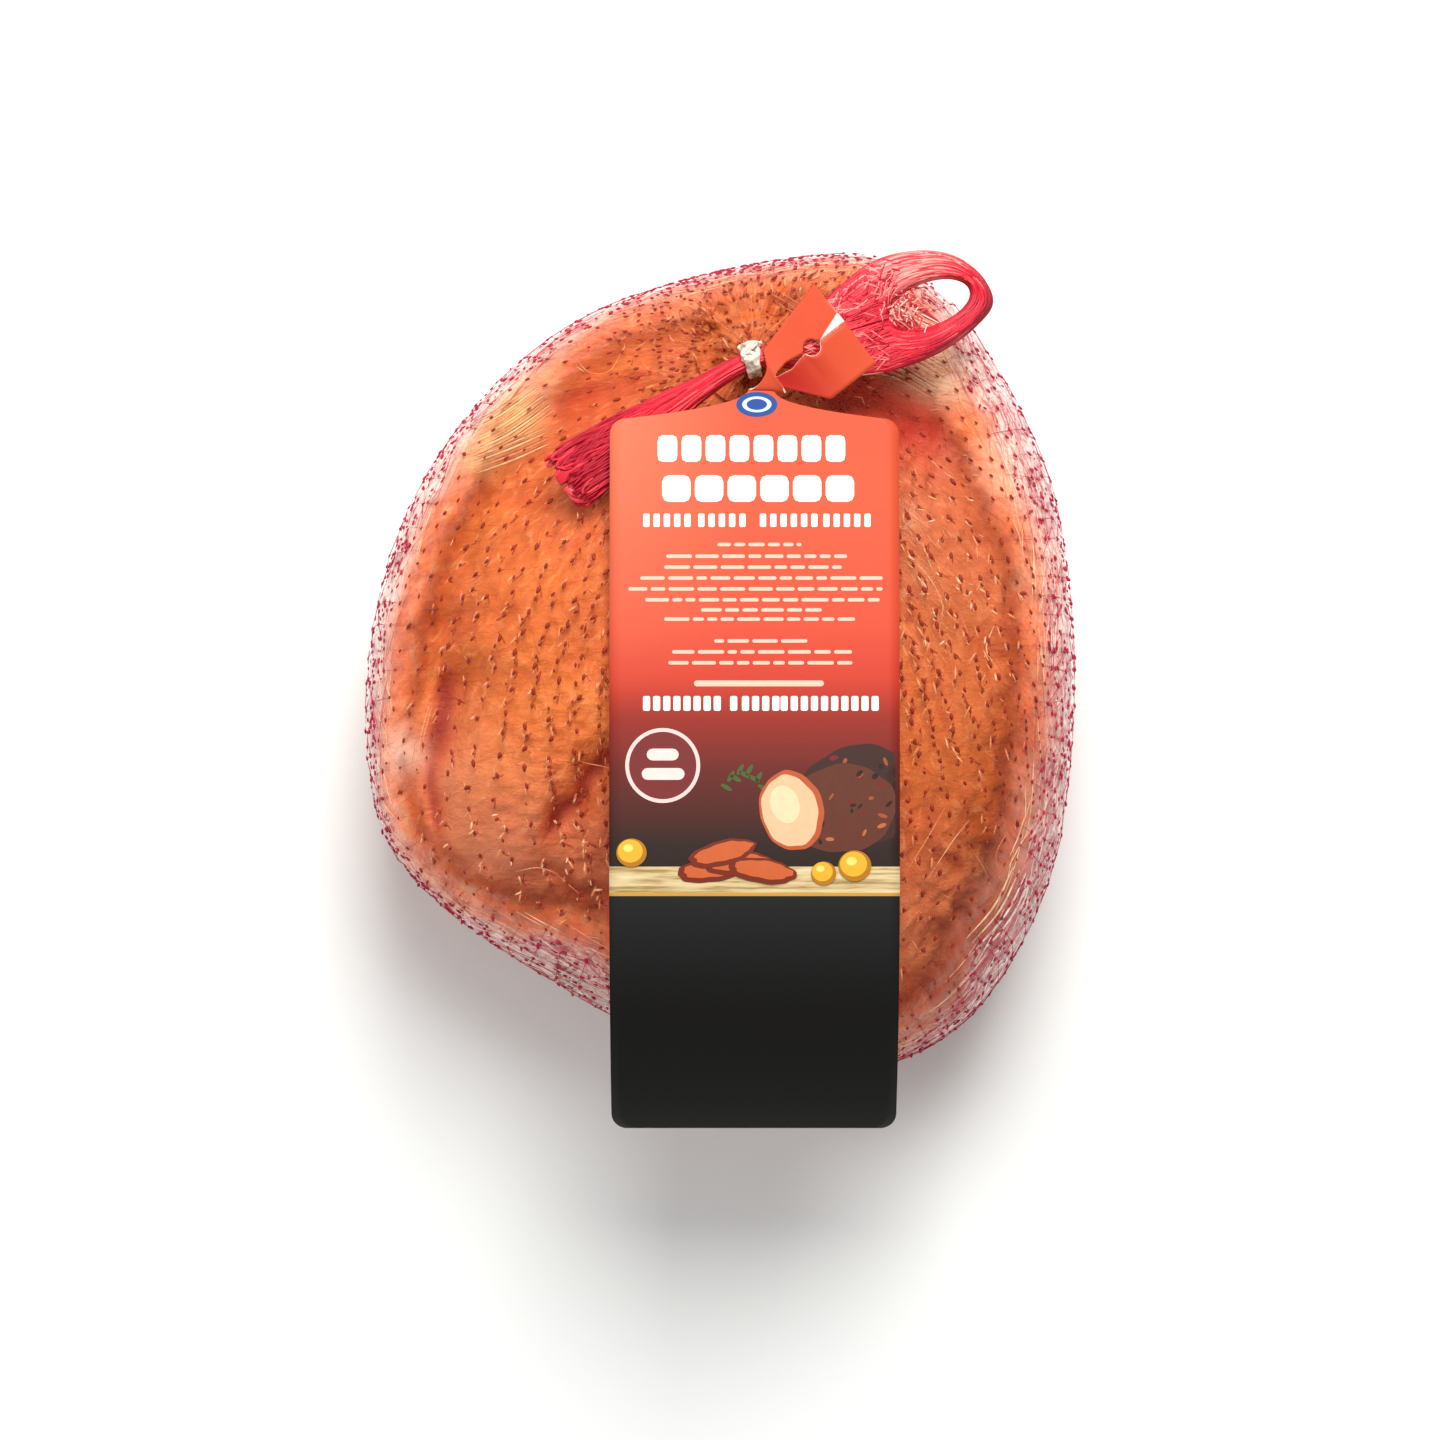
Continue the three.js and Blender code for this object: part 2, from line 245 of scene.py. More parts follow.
# Folds of the muscle: a line through points, depth, half width, and how much shade is painted into its
# bottom. The side to the left of the line's way stands higher and overhangs a little.
muscle_folds = [
    ([(-71.3, -29), (-70.3, -23), (-69, -18.5), (-67.6, -12), (-66, -5), (-64, 1)], 3.2, 6.2, 1.0),
    ([(-68, -45), (-69.8, -39), (-70.9, -33), (-71.3, -28), (-70.4, -23)], 1.8, 3.4, 0.8),
    (
        [(-43, -49), (-41.6, -42), (-39.5, -37), (-35, -33.5), (-31.5, -28), (-26.5, -22.5), (-19, -17)],
        2.6, 4.4, 1.0,
    ),
    ([(-50, -52), (-41, -51.5), (-35, -57), (-27, -57.5), (-18, -60)], 2.2, 4.5, 0.55),
    ([(-46, 60), (-38, 64), (-30, 66.5), (-22, 68), (-14, 72)], 2.8, 5.0, 0.6),
    ([(-66, 46), (-58, 41), (-48, 40), (-38, 44)], 1.6, 4.5, 0.35),
    ([(-78, 14), (-66, 10), (-54, 12), (-44, 10)], 1.0, 3.5, 0.3),
    ([(-60, 2), (-50, -4), (-38, -2), (-28, 4)], 0.8, 4.0, 0.2),
    ([(54, 10), (60, 7), (66, 2), (72, -2)], 0.9, 3.5, 0.2),
    ([(46, 26), (50, 14), (58, 8)], 0.8, 3.5, 0.2),
    ([(50, -44), (56, -49), (61, -54), (66, -57)], 1.0, 3.0, 0.3),
    ([(52, -62), (58, -68), (64, -72)], 0.6, 3.0, 0.15),
    ([(20, 64), (32, 63), (44, 61), (56, 56)], 2.0, 6.0, 0.7),
    ([(-70, -52), (-62, -58), (-50, -62)], 1.0, 4.0, 0.25),
]


# Places of other colours on the meat, in plan: where, how far they reach, and how strong they are. The
# paler places are pinker and lighter; those on the lower and right-hand sides are painted light, which lifts
# them where less light falls. The redder places are darker red; the first two are painted shade in the
# hollow under the loop.
paler_and_lit_places = [
    (66, 28, 38, 0.5), (-56, -48, 22, 0.9), (-26, -68, 24, 0.9), (14, 92, 26, 0.5), (60, -70, 22, 0.8),
    (-72, -24, 12, 0.8), (46, 60, 16, 0.5),
]
redder_and_shaded_places = [
    (36, 60, 10, 0.9), (50, 58, 10, 0.9), (-22, -70, 14, 0.35), (46, -88, 14, 0.3), (-34, 62, 12, 0.25),
]
golden_places = [
    (-42, -8, 22, 0.9), (-60, 44, 13, 0.9), (54, -22, 22, 0.7), (-54, 62, 10, 0.9), (-48, 20, 14, 0.6),
    (-26, 74, 8, 0.5),
]


def gap_towards(angle):
    """The millimetres of slack on the side that faces an angle in degrees"""
    fine = np.arange(0, 360)
    gaps = np.interp(fine, [side for side, gap in slack_sides], [gap for side, gap in slack_sides])
    window = np.hanning(15) / np.hanning(15).sum()
    gaps = np.convolve(np.concatenate([gaps[-7:], gaps, gaps[:7]]), window, "valid")
    return np.interp(angle % 360, fine, gaps, period=360)


def drawn_to_clip(points):
    """Fine creases that run to the clip, from about -1 to 1, and where points lie round the clip"""
    from_neck = np.hypot(points[:, 0] - neck_foot.x, points[:, 1] - neck_foot.y) / MM
    round_neck = np.arctan2(points[:, 0] - neck_foot.x, points[:, 1] - neck_foot.y)
    fan = np.stack([np.cos(round_neck), np.sin(round_neck), np.log(from_neck + 5) * 0.22], -1)
    return np.array([noise.noise(Vector(p) * 17) for p in fan]), from_neck, round_neck


def set_fan(piece, from_neck, round_neck):
    """Where points lie round the clip, as fields for the streaks that run to it"""
    set_field(piece, "fan_x", np.cos(round_neck))
    set_field(piece, "fan_y", np.sin(round_neck))
    set_field(piece, "fan_reach", from_neck / 100)


def across_fold(over, lower, upper):
    """1 along a fold's line, fading over its own half width on the lower and on the upper side"""
    return np.exp(-((over / np.where(over < 0, lower, upper)) ** 2))


def shape_meat(meat):
    points = points_of(meat)
    out = points - np.array(heart)
    angle = np.degrees(np.arctan2(out[:, 1], out[:, 0]))
    height = np.clip(np.abs(out[:, 2]) / (58 * MM), 0, 1)
    plan = np.hypot(out[:, 0], out[:, 1])
    uneven = 1 + 0.3 * cloud(points * (1, 1, 0), 16, 6, 3) + 0.12 * cloud(points * (1, 1, 0), 4, 7, 2)
    inward = np.minimum(gap_towards(angle) * uneven * MM * (1 - height**3), plan * 0.3)
    points[:, :2] -= out[:, :2] / np.maximum(plan, 1e-6)[:, None] * inward[:, None]
    upper = np.clip((points[:, 2] / MM - 44) / 22, 0, 1)
    dip = np.zeros(len(points))
    shade = np.zeros(len(points))
    sway = cloud(points, 14, 9, 2) * 1.6
    for fold, depth, width, darkness in muscle_folds:
        distance, side, along = near_line(points, curve_through(fold, 60, 12))
        over = distance * side + sway
        ends = eased(np.clip(np.minimum(along, 1 - along) * 4, 0, 1))
        # The lower side climbs slowly, and the higher side drops sharply into the fold
        valley = across_fold(over, 1.5 * width, 0.45 * width)
        swell = np.where(over > 0, np.exp(-((over - width) ** 2) / (width**2)), 0)
        dip += ends * (0.35 * depth * swell - depth * valley)
        # Shade painted into the bottom of each fold, which the meat's colour reads as its crease field
        shade += ends * darkness * across_fold(over, 0.75 * width, 0.36 * width)
    dip -= 1.1
    dip += 1.1 * cloud(points, 26, 1) + 0.4 * cloud(points, 8, 2, 2)
    top_lobe = np.clip((points[:, 1] / MM - 66) / 12, 0, 1)
    dip += 0.8 * top_lobe * cloud(points, 4.5, 3, 2)
    points[:, 2] += np.minimum(dip, 0.2) * MM * upper
    points[:, 2] = np.maximum(points[:, 2], 0.6 * MM)
    set_points(meat, points)
    from_neck, round_neck = drawn_to_clip(points)[1:]
    shares = {
        "crease": shade, "paler_and_painted_light": blots(points, paler_and_lit_places), "dark": blots(points, redder_and_shaded_places),
        "gold": blots(points, golden_places), "lobe": top_lobe,
    }
    for name, values in shares.items():
        set_field(meat, name, np.clip(values, 0, 1))
    set_fan(meat, from_neck, round_neck)


shape_meat(meat)
meat_rim = rim_of(meat)


class Look:
    """A material that is built up node by node"""

    def __init__(self, name):
        self.material = bpy.data.materials.new(name)
        self.material.use_nodes = True
        self.tree = self.material.node_tree
        self.shader = self.tree.nodes["Principled BSDF"]
        self.output = self.tree.nodes["Material Output"]

    def node(self, kind, inputs=None, **settings):
        made = self.tree.nodes.new(kind)
        for key, value in settings.items():
            setattr(made, key, value)
        for key, value in (inputs or {}).items():
            self.put(made.inputs[key], value)
        return made

    def put(self, socket, value):
        if isinstance(value, bpy.types.NodeSocket):
            self.tree.links.new(value, socket)
        else:
            socket.default_value = value

    def set(self, **inputs):
        for key, value in inputs.items():
            self.put(self.shader.inputs[key.replace("_", " ")], value)

    def place(self):
        return self.node("ShaderNodeTexCoord").outputs["Object"]

    def field(self, name):
        return self.node("ShaderNodeAttribute", attribute_name=name).outputs["Fac"]

    def joined(self, *parts):
        """Three of a piece's fields as one place for a noise, each with its own scale"""
        scaled = [self.math("MULTIPLY", self.field(name), scale) for name, scale in parts]
        return self.node("ShaderNodeCombineXYZ", dict(zip("XYZ", scaled))).outputs[0]

    def math(self, operation, *values, clamp=False):
        made = self.node("ShaderNodeMath", operation=operation, use_clamp=clamp)
        for socket, value in zip(made.inputs, values):
            self.put(socket, value)
        return made.outputs[0]

    def blend(self, share, first, second, blend_type="MIX"):
        made = self.node("ShaderNodeMix", data_type="RGBA", blend_type=blend_type)
        self.put(made.inputs[0], share)
        self.put(made.inputs[6], first)
        self.put(made.inputs[7], second)
        return made.outputs[2]

    def noise(self, scale, detail=3.0, roughness=0.55, place=None, distortion=0.0):
        inputs = {"Scale": scale, "Detail": detail, "Roughness": roughness, "Distortion": distortion}
        inputs["Vector"] = place or self.place()
        return self.node("ShaderNodeTexNoise", inputs).outputs["Fac"]

    def ramp(self, value, *stops):
        """A band of tones: each stop has a position, and a colour of three numbers or one grey level"""
        made = self.node("ShaderNodeValToRGB", {"Fac": value})
        band = made.color_ramp
        while len(band.elements) < len(stops):
            band.elements.new(0.5)
        for element, (position, *tone) in zip(band.elements, stops):
            element.position = position
            element.color = rgb(*tone) if len(tone) == 3 else (*tone * 3, 1)
        return made.outputs["Color"]

    def layered(self, colour, layers):
        """A colour with others laid over it, each with the share of it that they cover"""
        for share, tint in layers:
            colour = self.blend(share, colour, rgb(*tint))
        return colour

    def bump(self, height, strength, distance, normal=None):
        inputs = {"Height": height, "Strength": strength, "Distance": distance}
        if normal is not None:
            inputs["Normal"] = normal
        return self.node("ShaderNodeBump", inputs).outputs["Normal"]

    def stretched(self, scale, turn=0.0, coordinate="Object"):
        place = self.node("ShaderNodeTexCoord").outputs[coordinate]
        mapping = self.node("ShaderNodeMapping", {"Vector": place})
        mapping.inputs["Scale"].default_value = scale
        mapping.inputs["Rotation"].default_value = (0, 0, math.radians(turn))
        return mapping.outputs["Vector"]


def rgb(red, green, blue):
    """A colour as it looks on a screen, from 0 to 255, turned into light"""
    parts = [((part / 255 + 0.055) / 1.055) ** 2.4 if part > 10 else part / 3294 for part in (red, green, blue)]
    return (*parts, 1)


def meat_look():
    look = Look("cured_meat")
    lumps = look.noise(30, 4, 0.62, distortion=0.5)
    colour = look.ramp(
        lumps, (0.30, 164, 60, 24), (0.42, 200, 88, 38), (0.56, 212, 103, 43), (0.72, 230, 145, 74),
    )
    grain = look.noise(1, 3, 0.6, place=look.stretched((160, 800, 300), 24))
    fan = look.joined(("fan_x", 38), ("fan_y", 38), ("fan_reach", 20))
    streaks = look.noise(1, 4, 0.65, place=fan, distortion=0.8)
    rough = look.math("GREATER_THAN", look.noise(260, 3, 0.65), 0.52)
    depth = look.field("crease")
    colour = look.layered(colour, [
        (look.math("MULTIPLY", grain, 0.25), (164, 50, 18)),
        (look.math("MULTIPLY", look.noise(380, 2, 0.5), 0.22), (232, 140, 76)),
        # Dark and light streaks that run to the clip: painted shade and painted light on its fine creases
        (look.ramp(streaks, (0.34, 0.55), (0.47, 0.0)), (176, 54, 28)),
        (look.ramp(streaks, (0.54, 0.0), (0.68, 0.6)), (246, 158, 104)),
        (look.math("MULTIPLY", look.field("gold"), 0.5), (226, 128, 52)),
        (look.math("MULTIPLY", look.math("MULTIPLY", look.field("lobe"), rough), 0.3), (150, 52, 30)),
        # Paler places, partly painted light on the lower and right-hand sides; redder ones, partly painted
        # shade in the hollow under the loop
        (look.math("MULTIPLY", look.field("paler_and_painted_light"), 0.75), (220, 134, 100)),
        (look.math("MULTIPLY", look.field("dark"), 0.9), (196, 18, 34)),
    ])
    # Painted shade at the bottom of the muscle folds, from the crease field
    painted_fold_shade = look.ramp(depth, (0.1, 196, 72, 34), (0.45, 182, 54, 32), (0.85, 140, 12, 22))
    colour = look.blend(look.math("MULTIPLY", depth, 0.92), colour, painted_fold_shade)
    look.set(Base_Color=colour, Roughness=0.5, Specular_IOR_Level=0.3)
    look.set(Subsurface_Weight=0.1, Subsurface_Scale=0.003, Subsurface_Radius=(1.0, 0.35, 0.2))
    fine = look.bump(look.noise(700, 3, 0.6), 0.25, 0.0006)
    fine = look.bump(streaks, 0.5, 0.0014, fine)
    look.set(Normal=look.bump(grain, 0.3, 0.0012, fine))
    return look.material


meat.data.materials.append(meat_look())
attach(meat, "root")
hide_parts("wrapped_joint")

# The net
# A tube of knotted polyethylene thread, stretched over the bag and drawn together at both ends. The
# diamonds open wide over the middle of the joint, and close to long slits towards the clip and the foot.
diamonds_round = 38
thread_between_knots = 6.6
net_over_form = 0.25
thread_radius = 0.12
net_top = Vector((8, 75, 84)) * MM
net_foot = Vector((26, -99, 30)) * MM
top_ring = 11.0
foot_ring = 5.0
past_the_middle = 40
most_across = 0.94


def flat_pole(direction):
    """A direction on the ball as one complex number, seen from its north pole"""
    x, y, z = direction.normalized()
    return complex(x, y) / (1 - z)


def ball_direction(number):
    size = abs(number) ** 2
    return Vector((2 * number.real, 2 * number.imag, size - 1)) / (size + 1)


class Lattice:
    """Rings of knots from the drawn top to the drawn foot, every other ring half a diamond on"""

    def __init__(self, form):
        mesh = bmesh.new()
        mesh.from_mesh(form.data)
        self.tree = BVHTree.FromBMesh(mesh)
        mesh.free()
        self.top = flat_pole(net_top - heart)
        self.foot = flat_pole(net_foot - heart)
        self.rings = self.march()

    def at(self, level, turn):
        """The place on the form at a level between the two poles, and a turn round them"""
        w = cmath.exp(complex(level, turn))
        way = ball_direction((self.top - self.foot * w) / (1 - w))
        return self.tree.ray_cast(heart, way)[0]

    def ring(self, level, half):
        turns = [(step + 0.5 * half) * math.tau / diamonds_round + 0.011 for step in range(diamonds_round)]
        return [self.at(level, turn) for turn in turns]

    def length_round(self, ring):
        return sum((a - b).length for a, b in zip(ring, ring[1:] + ring[:1]))

    def march(self):
        """Rings from the top down, each as far on as the stretched threads reach"""
        level = -6.0
        while self.length_round(self.ring(level, 0)) < math.tau * top_ring * MM:
            level += 0.03
        rings = [self.ring(level, 0)]
        thread = thread_between_knots * MM
        around = self.length_round(rings[-1])
        while len(rings) <= past_the_middle or around >= math.tau * foot_ring * MM:
            across = min(around / diamonds_round / 2, most_across * thread)
            down = math.sqrt(thread**2 - across**2)
            step = down * math.tau / around
            for attempt in range(3):
                here = self.ring(level, len(rings) + 1 & 1)
                there = self.ring(level + step, len(rings) + 1 & 1)
                run = sum((a - b).length for a, b in zip(here, there)) / diamonds_round
                step *= down / run
            level += step
            rings.append(self.ring(level, len(rings) & 1))
            around = self.length_round(rings[-1])
        return rings

    def beside(self, row, column):
        """The knots of the next ring that a knot is tied to"""
        half = row & 1
        return [(row + 1, (column + half - 1) % diamonds_round), (row + 1, (column + half) % diamonds_round)]

    def relax(self, passes):
        """Lets each knot slide towards the middle of its neighbours, and keeps it outside the form"""
        last = len(self.rings) - 1
        for turn in range(passes):
            pull = [[(Vector(), 0)] * diamonds_round for ring in self.rings]
            for row in range(last):
                for column in range(diamonds_round):
                    for r, c in self.beside(row, column):
                        a, b = self.rings[row][column], self.rings[r][c]
                        s, n = pull[row][column]
                        pull[row][column] = (s + b, n + 1)
                        s, n = pull[r][c]
                        pull[r][c] = (s + a, n + 1)
            for row in range(1, last):
                for column in range(diamonds_round):
                    s, n = pull[row][column]
                    moved = self.rings[row][column].lerp(s / n, 0.5)
                    self.rings[row][column] = self.outside(moved, 1.6)

    def outside(self, point, slack):
        """The point, or the nearest one on the form if it is inside or more than the slack above it"""
        nearest, normal, face, distance = self.tree.find_nearest(point)
        above = (point - nearest).dot(normal)
        return nearest + normal * min(max(above, 0), slack * MM)

    def over(self, point, height):
        nearest, normal, face, distance = self.tree.find_nearest(point)
        above = (point - nearest).dot(normal)
        lifted = nearest + normal * min(max(above, height * MM), (height + 0.2) * MM)
        lifted.z = max(lifted.z, 0.7 * MM)
        return lifted


lattice = Lattice(form)
lattice.relax(6)
chance = random.Random(5)
noise.seed_set(5)


def shaken(draw, amount):
    return Vector([draw.gauss(0, amount) for axis in range(3)])


for ring in lattice.rings[1:-1]:
    for column, knot in enumerate(ring):
        shake = noise.noise_vector(knot * 40) * 1.2 + shaken(chance, 0.42)
        ring[column] = lattice.over(knot + shake * MM, net_over_form)


def mesh_piece(name, points, faces):
    mesh = bpy.data.meshes.new(name)
    mesh.from_pydata(points, [], faces)
    piece = bpy.data.objects.new(name, mesh)
    scene.collection.objects.link(piece)
    pick(piece)
    bpy.ops.object.shade_smooth()
    return piece


def threads(name, paths, radius, tones=None, up=(0.13, 0.31, 0.94), sides=4, flat=1.0):
    """Thin threads along many paths of the same number of points, as one mesh with a tone for each thread"""
    paths = np.array(paths, float)
    count, steps = paths.shape[:2]
    along = np.gradient(paths, axis=1)
    along /= np.linalg.norm(along, axis=2, keepdims=True) + 1e-12
    side = np.cross(along, np.asarray(up, float))
    side /= np.linalg.norm(side, axis=2, keepdims=True) + 1e-12
    over = np.cross(side, along)
    turns = np.arange(sides) * math.tau / sides
    ring = np.cos(turns)[:, None] * side[:, :, None, :] + flat * np.sin(turns)[:, None] * over[:, :, None, :]
    thick = np.broadcast_to(np.asarray(radius, float) * MM, (count, steps))[:, :, None, None]
    points = paths[:, :, None, :] + ring * thick
    first = np.arange(count)[:, None, None] * steps * sides
    step = np.arange(steps - 1)[None, :, None] * sides
    corner = np.arange(sides)[None, None, :]
    beside = (corner + 1) % sides
    base = first + step
    quads = np.stack([base + corner, base + beside, base + sides + beside, base + sides + corner], -1)
    start = first[:, 0] + np.arange(sides)[::-1]
    end = first[:, 0] + (steps - 1) * sides + np.arange(sides)
    faces = quads.reshape(-1, 4).tolist() + start.tolist() + end.tolist()
    piece = mesh_piece(name, points.reshape(-1, 3).tolist(), faces)
    if tones is not None:
        tones = np.broadcast_to(np.asarray(tones, float).reshape(count, -1), (count, steps))
        set_field(piece, "tone", np.repeat(tones.ravel(), sides))
    return piece


def lying_on(x, y, height):
    """A place over the top of the form, and the way that it faces there"""
    hit, normal, face, distance = lattice.tree.ray_cast(Vector((x, y, 150)) * MM, Vector((0, 0, -1)))
    if hit is None:
        hit, normal, face, distance = lattice.tree.find_nearest(Vector((x, y, 45)) * MM)
    return hit + normal * height * MM, normal


neck_head = Vector((8, 71.5, 94.9)) * MM
neck_foot_radius, neck_head_radius = 14, 2.4
neck_under_form = 2.6


def neck_at(turn, up, out=0.0):
    """A point on the pleated neck, by its turn round it and its share of the way up"""
    turn, up = np.broadcast_arrays(np.asarray(turn, float), np.asarray(up, float))
    radius = neck_head_radius + (neck_foot_radius - neck_head_radius) * (1 - up) ** 2.6
    pleat = 0.05 * np.cos(turn * 13 + 2 * np.sin(turn * 2)) + 0.03 * np.cos(turn * 29 + 3 * np.sin(turn))
    radius = radius * (1 + pleat * np.clip(up * 2, 0.1, 1)) + out
    flat = np.stack([radius * np.cos(turn), radius * np.sin(turn), np.zeros_like(turn)], -1) * MM
    points = (flat + np.array(neck_foot) + up[..., None] * np.array(neck_head - neck_foot)).reshape(-1, 3)
    # Its foot runs out into the form round it
    share = eased(np.clip(up.ravel() / 0.35, 0, 1))
    level = np.array([lying_on(x, y, out - neck_under_form)[0].z for x, y in points[:, :2] / MM])
    points[:, 2] = level + (points[:, 2] - level) * share
    return points.reshape(*up.shape, 3)


def net_paths():
    """Every thread runs from the top to the foot, one diamond's half on at each knot"""
    paths = []
    for lean in (0, 1):
        for start in range(diamonds_round):
            column = start
            knot = lattice.rings[0][column]
            turn = math.atan2(knot.y - neck_foot.y, knot.x - neck_foot.x)
            path = [Vector(p) for p in neck_at(turn + (lean - 0.5) * 0.1, np.linspace(1, 0.2, 8), 0.25)]
            path.append(knot)
            for row in range(len(lattice.rings) - 1):
                r, column = lattice.beside(row, column)[lean]
                knot = lattice.rings[r][column]
                middle = (path[-1] + knot) / 2
                path.append(lattice.over(middle, net_over_form * 0.8))
                path.append(knot)
            paths.append(path)
    return paths


def net_look(name, colour, shade, alpha=1.0):
    """Thread that shows faintly over the meat, and more strongly, but broken up, past its edge"""
    look = Look(name)
    mottle = look.noise(260, 2, 0.5)
    shown = look.field("shown")
    over_meat = look.blend(mottle, rgb(176, 54, 24), rgb(92, 26, 10))
    past_meat = look.blend(mottle, rgb(*colour), rgb(*shade))
    look.set(Base_Color=look.blend(shown, over_meat, past_meat), Roughness=0.5, Specular_IOR_Level=0.25)
    if alpha < 1:
        broken = look.ramp(look.noise(170, 2, 0.6), (0.43, 0.0), (0.56, 1.0))
        seen = look.math("MULTIPLY", look.math("MULTIPLY_ADD", shown, alpha - 0.07, 0.07), broken)
        look.set(Alpha=look.math("ADD", seen, 0.03))
    look.set(Normal=look.bump(look.noise(2400, 2, 0.5), 0.25, 0.0003))
    return look.material


net_runs = np.array([[list(point) for point in path] for path in net_paths()])
net_threads = threads("net_threads", net_runs, thread_radius, up=net_runs - np.array(heart))
net_threads.data.materials.append(net_look("net_thread", (224, 52, 88), (182, 24, 58), 0.64))

knot_long, knot_wide = 1.7, 1.0
kink_share = 0.55
slack_count, neck_count = 900, 150


def show_past_meat(piece):
    """Gives a piece's points a share that grows from 0 over the meat to 1 where the slack film is"""
    set_field(piece, "shown", np.clip(past_rim(points_of(piece), meat_rim) / 3 + 0.4, 0, 1))


def scatter(name, pattern, places):
    """Copies of one small mesh, each set at a place with its own turned axes, as one mesh"""
    base = points_of(pattern)
    faces = [tuple(polygon.vertices) for polygon in pattern.data.polygons]
    points, all_faces = [], []
    for place, along, side, over, size in places:
        turned = np.outer(base[:, 0], along) + np.outer(base[:, 1], side) + np.outer(base[:, 2], over)
        start = len(points) * len(base)
        points.append(turned * size + np.array(place))
        all_faces += [tuple(corner + start for corner in face) for face in faces]
    return mesh_piece(name, np.concatenate(points).tolist(), all_faces)


def one_knot():
    """A small overhand knot, as a lump with a waist"""
    deselect_all()
    bpy.ops.mesh.primitive_ico_sphere_add(subdivisions=2, radius=0.5 * MM)
    knot = bpy.context.object
    points = points_of(knot)
    points[:, 0] *= knot_long * (1 - 0.2 * np.cos(points[:, 0] / MM * 5))
    points[:, 1] *= knot_wide * (1 + 0.18 * np.sin(points[:, 0] / MM * 6))
    points[:, 2] *= knot_wide * 0.8
    set_points(knot, points)
    thin = knot.modifiers.new("fewer_faces", "DECIMATE")
    thin.ratio = 0.5
    apply_all(knot)
    return knot


def knot_places():
    places = []
    for row in range(1, len(lattice.rings) - 1):
        for column, knot in enumerate(lattice.rings[row]):
            r, c = lattice.beside(row, column)[0]
            over = (knot - heart).normalized()
            along = (lattice.rings[r][c] - knot).normalized()
            along = along if knot.z < 30 * MM else (neck_foot - knot).normalized()
            along = along + shaken(chance, 0.3)
            along = (along - over * along.dot(over) * 0.85).normalized()
            side = over.cross(along).normalized()
            over = along.cross(side).normalized()
            size = chance.uniform(0.7, 1.15) * (0.75 if over.z < 0.45 else 1)
            places.append((knot, along, side, over, size))
            # Between two knots of a ring the thread often has a small kink that looks like a knot
            beside = lattice.rings[row][(column + 1) % diamonds_round]
            if chance.random() < kink_share and knot.z > 50 * MM:
                kink = lattice.over(knot.lerp(beside, chance.uniform(0.35, 0.65)), net_over_form)
                places.append((kink, along, side, over, chance.uniform(0.4, 0.8)))
    return places


# Where the net bunches up round the clip: from how far out, to how far out, and how far apart
bunched_from, bunched_to, bunched_apart = 13, 40, 2.5


def plan_at(turn, reach):
    """A place in plan, by the way to it in degrees and how far out it is"""
    return reach * math.cos(math.radians(turn)), reach * math.sin(math.radians(turn))


def bunched_knots():
    """More knots round the clip, but none on the side of the tag"""
    places = []
    for x in np.arange(-bunched_to, bunched_to, bunched_apart):
        for y in np.arange(-bunched_to, bunched_to, bunched_apart):
            px, py = x + chance.gauss(0, 0.6), y + chance.gauss(0, 0.6)
            reach = math.hypot(px, py)
            thinning = (reach - bunched_from) / (bunched_to - bunched_from)
            if not 0 < thinning < 1 or chance.random() < thinning**1.5 or py < -0.35 * abs(px) - 4:
                continue
            place, over = lying_on(px + neck_foot.x / MM, py + neck_foot.y / MM, net_over_form)
            along = Vector((-px, -py, 0)) / reach + shaken(chance, 0.3)
            side = over.cross(along).normalized()
            places.append((place, side.cross(over).normalized(), side, over, chance.uniform(0.5, 0.85)))
    return places


def slack_knots():
    """The knots of the folded net that hangs slack round the sides"""
    places = []
    for number in range(slack_count):
        turn = chance.uniform(0, 360)
        gap = float(gap_towards(np.array([turn]))[0])
        reach = rim_towards(turn, meat_rim) / MM + gap * chance.uniform(0.1, 0.95)
        place, over = lying_on(*plan_at(turn, reach), 0.1)
        along = Vector((0, 0, 1)).cross(place).normalized() + shaken(chance, 0.4)
        side = over.cross(along).normalized()
        places.append((place, side.cross(over), side, over, chance.uniform(0.35, 0.85)))
    return places


def neck_knots():
    places = []
    for number in range(neck_count):
        turn, up = chance.uniform(0, math.tau), 0.75 * chance.random() ** 1.5
        steps = ((0, 0), (0, 0.03), (0.05, 0))
        place, above, beside = [Vector(neck_at(turn + aside, up + rise, 0.2)) for aside, rise in steps]
        along = (above - place).normalized()
        over = (beside - place).cross(along).normalized()
        over = over if over.z > 0 else -over
        places.append((place, along, over.cross(along), over, chance.uniform(0.45, 0.75)))
    return places


knot = one_knot()
all_knots = knot_places() + bunched_knots() + slack_knots() + neck_knots()
net_knots = scatter("net_knots", knot, all_knots)
bpy.data.objects.remove(knot)
net_knots.data.materials.append(net_look("net_knot", (206, 22, 72), (124, 22, 46)))
for piece in (net_threads, net_knots):
    show_past_meat(piece)
    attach(piece, "root")
    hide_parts("wrapped_joint")

# The film bag
# A clear shrunk bag under the net, tight over the top of the meat and slack at its sides. The net's
# knots press dimples into it, it is pulled into fine crinkles towards the clip, and it stands in folds.
film = wrapped_ball("film_bag", form, 7)
film_under_net = 0.3
# Where the film hangs off the meat in milky pleats: a place in plan, its reach, and how milky. The last two,
# beside the tag, are painted highlight: milky cream where the film there catches the light.
film_haze = [
    (-50, 59, 9, 0.75), (-58, 49, 6, 0.35), (-76, -23, 6, 0.75), (-40, -82, 12, 0.3), (54, 70, 8, 0.9),
    (44, 73, 7, 0.65), (70, 46, 9, 0.36), (80, 22, 8, 0.3), (68, -58, 9, 0.42), (76, -34, 6, 0.25),
    (46, 33, 5, 0.4), (48, 20, 6, 0.36),
]
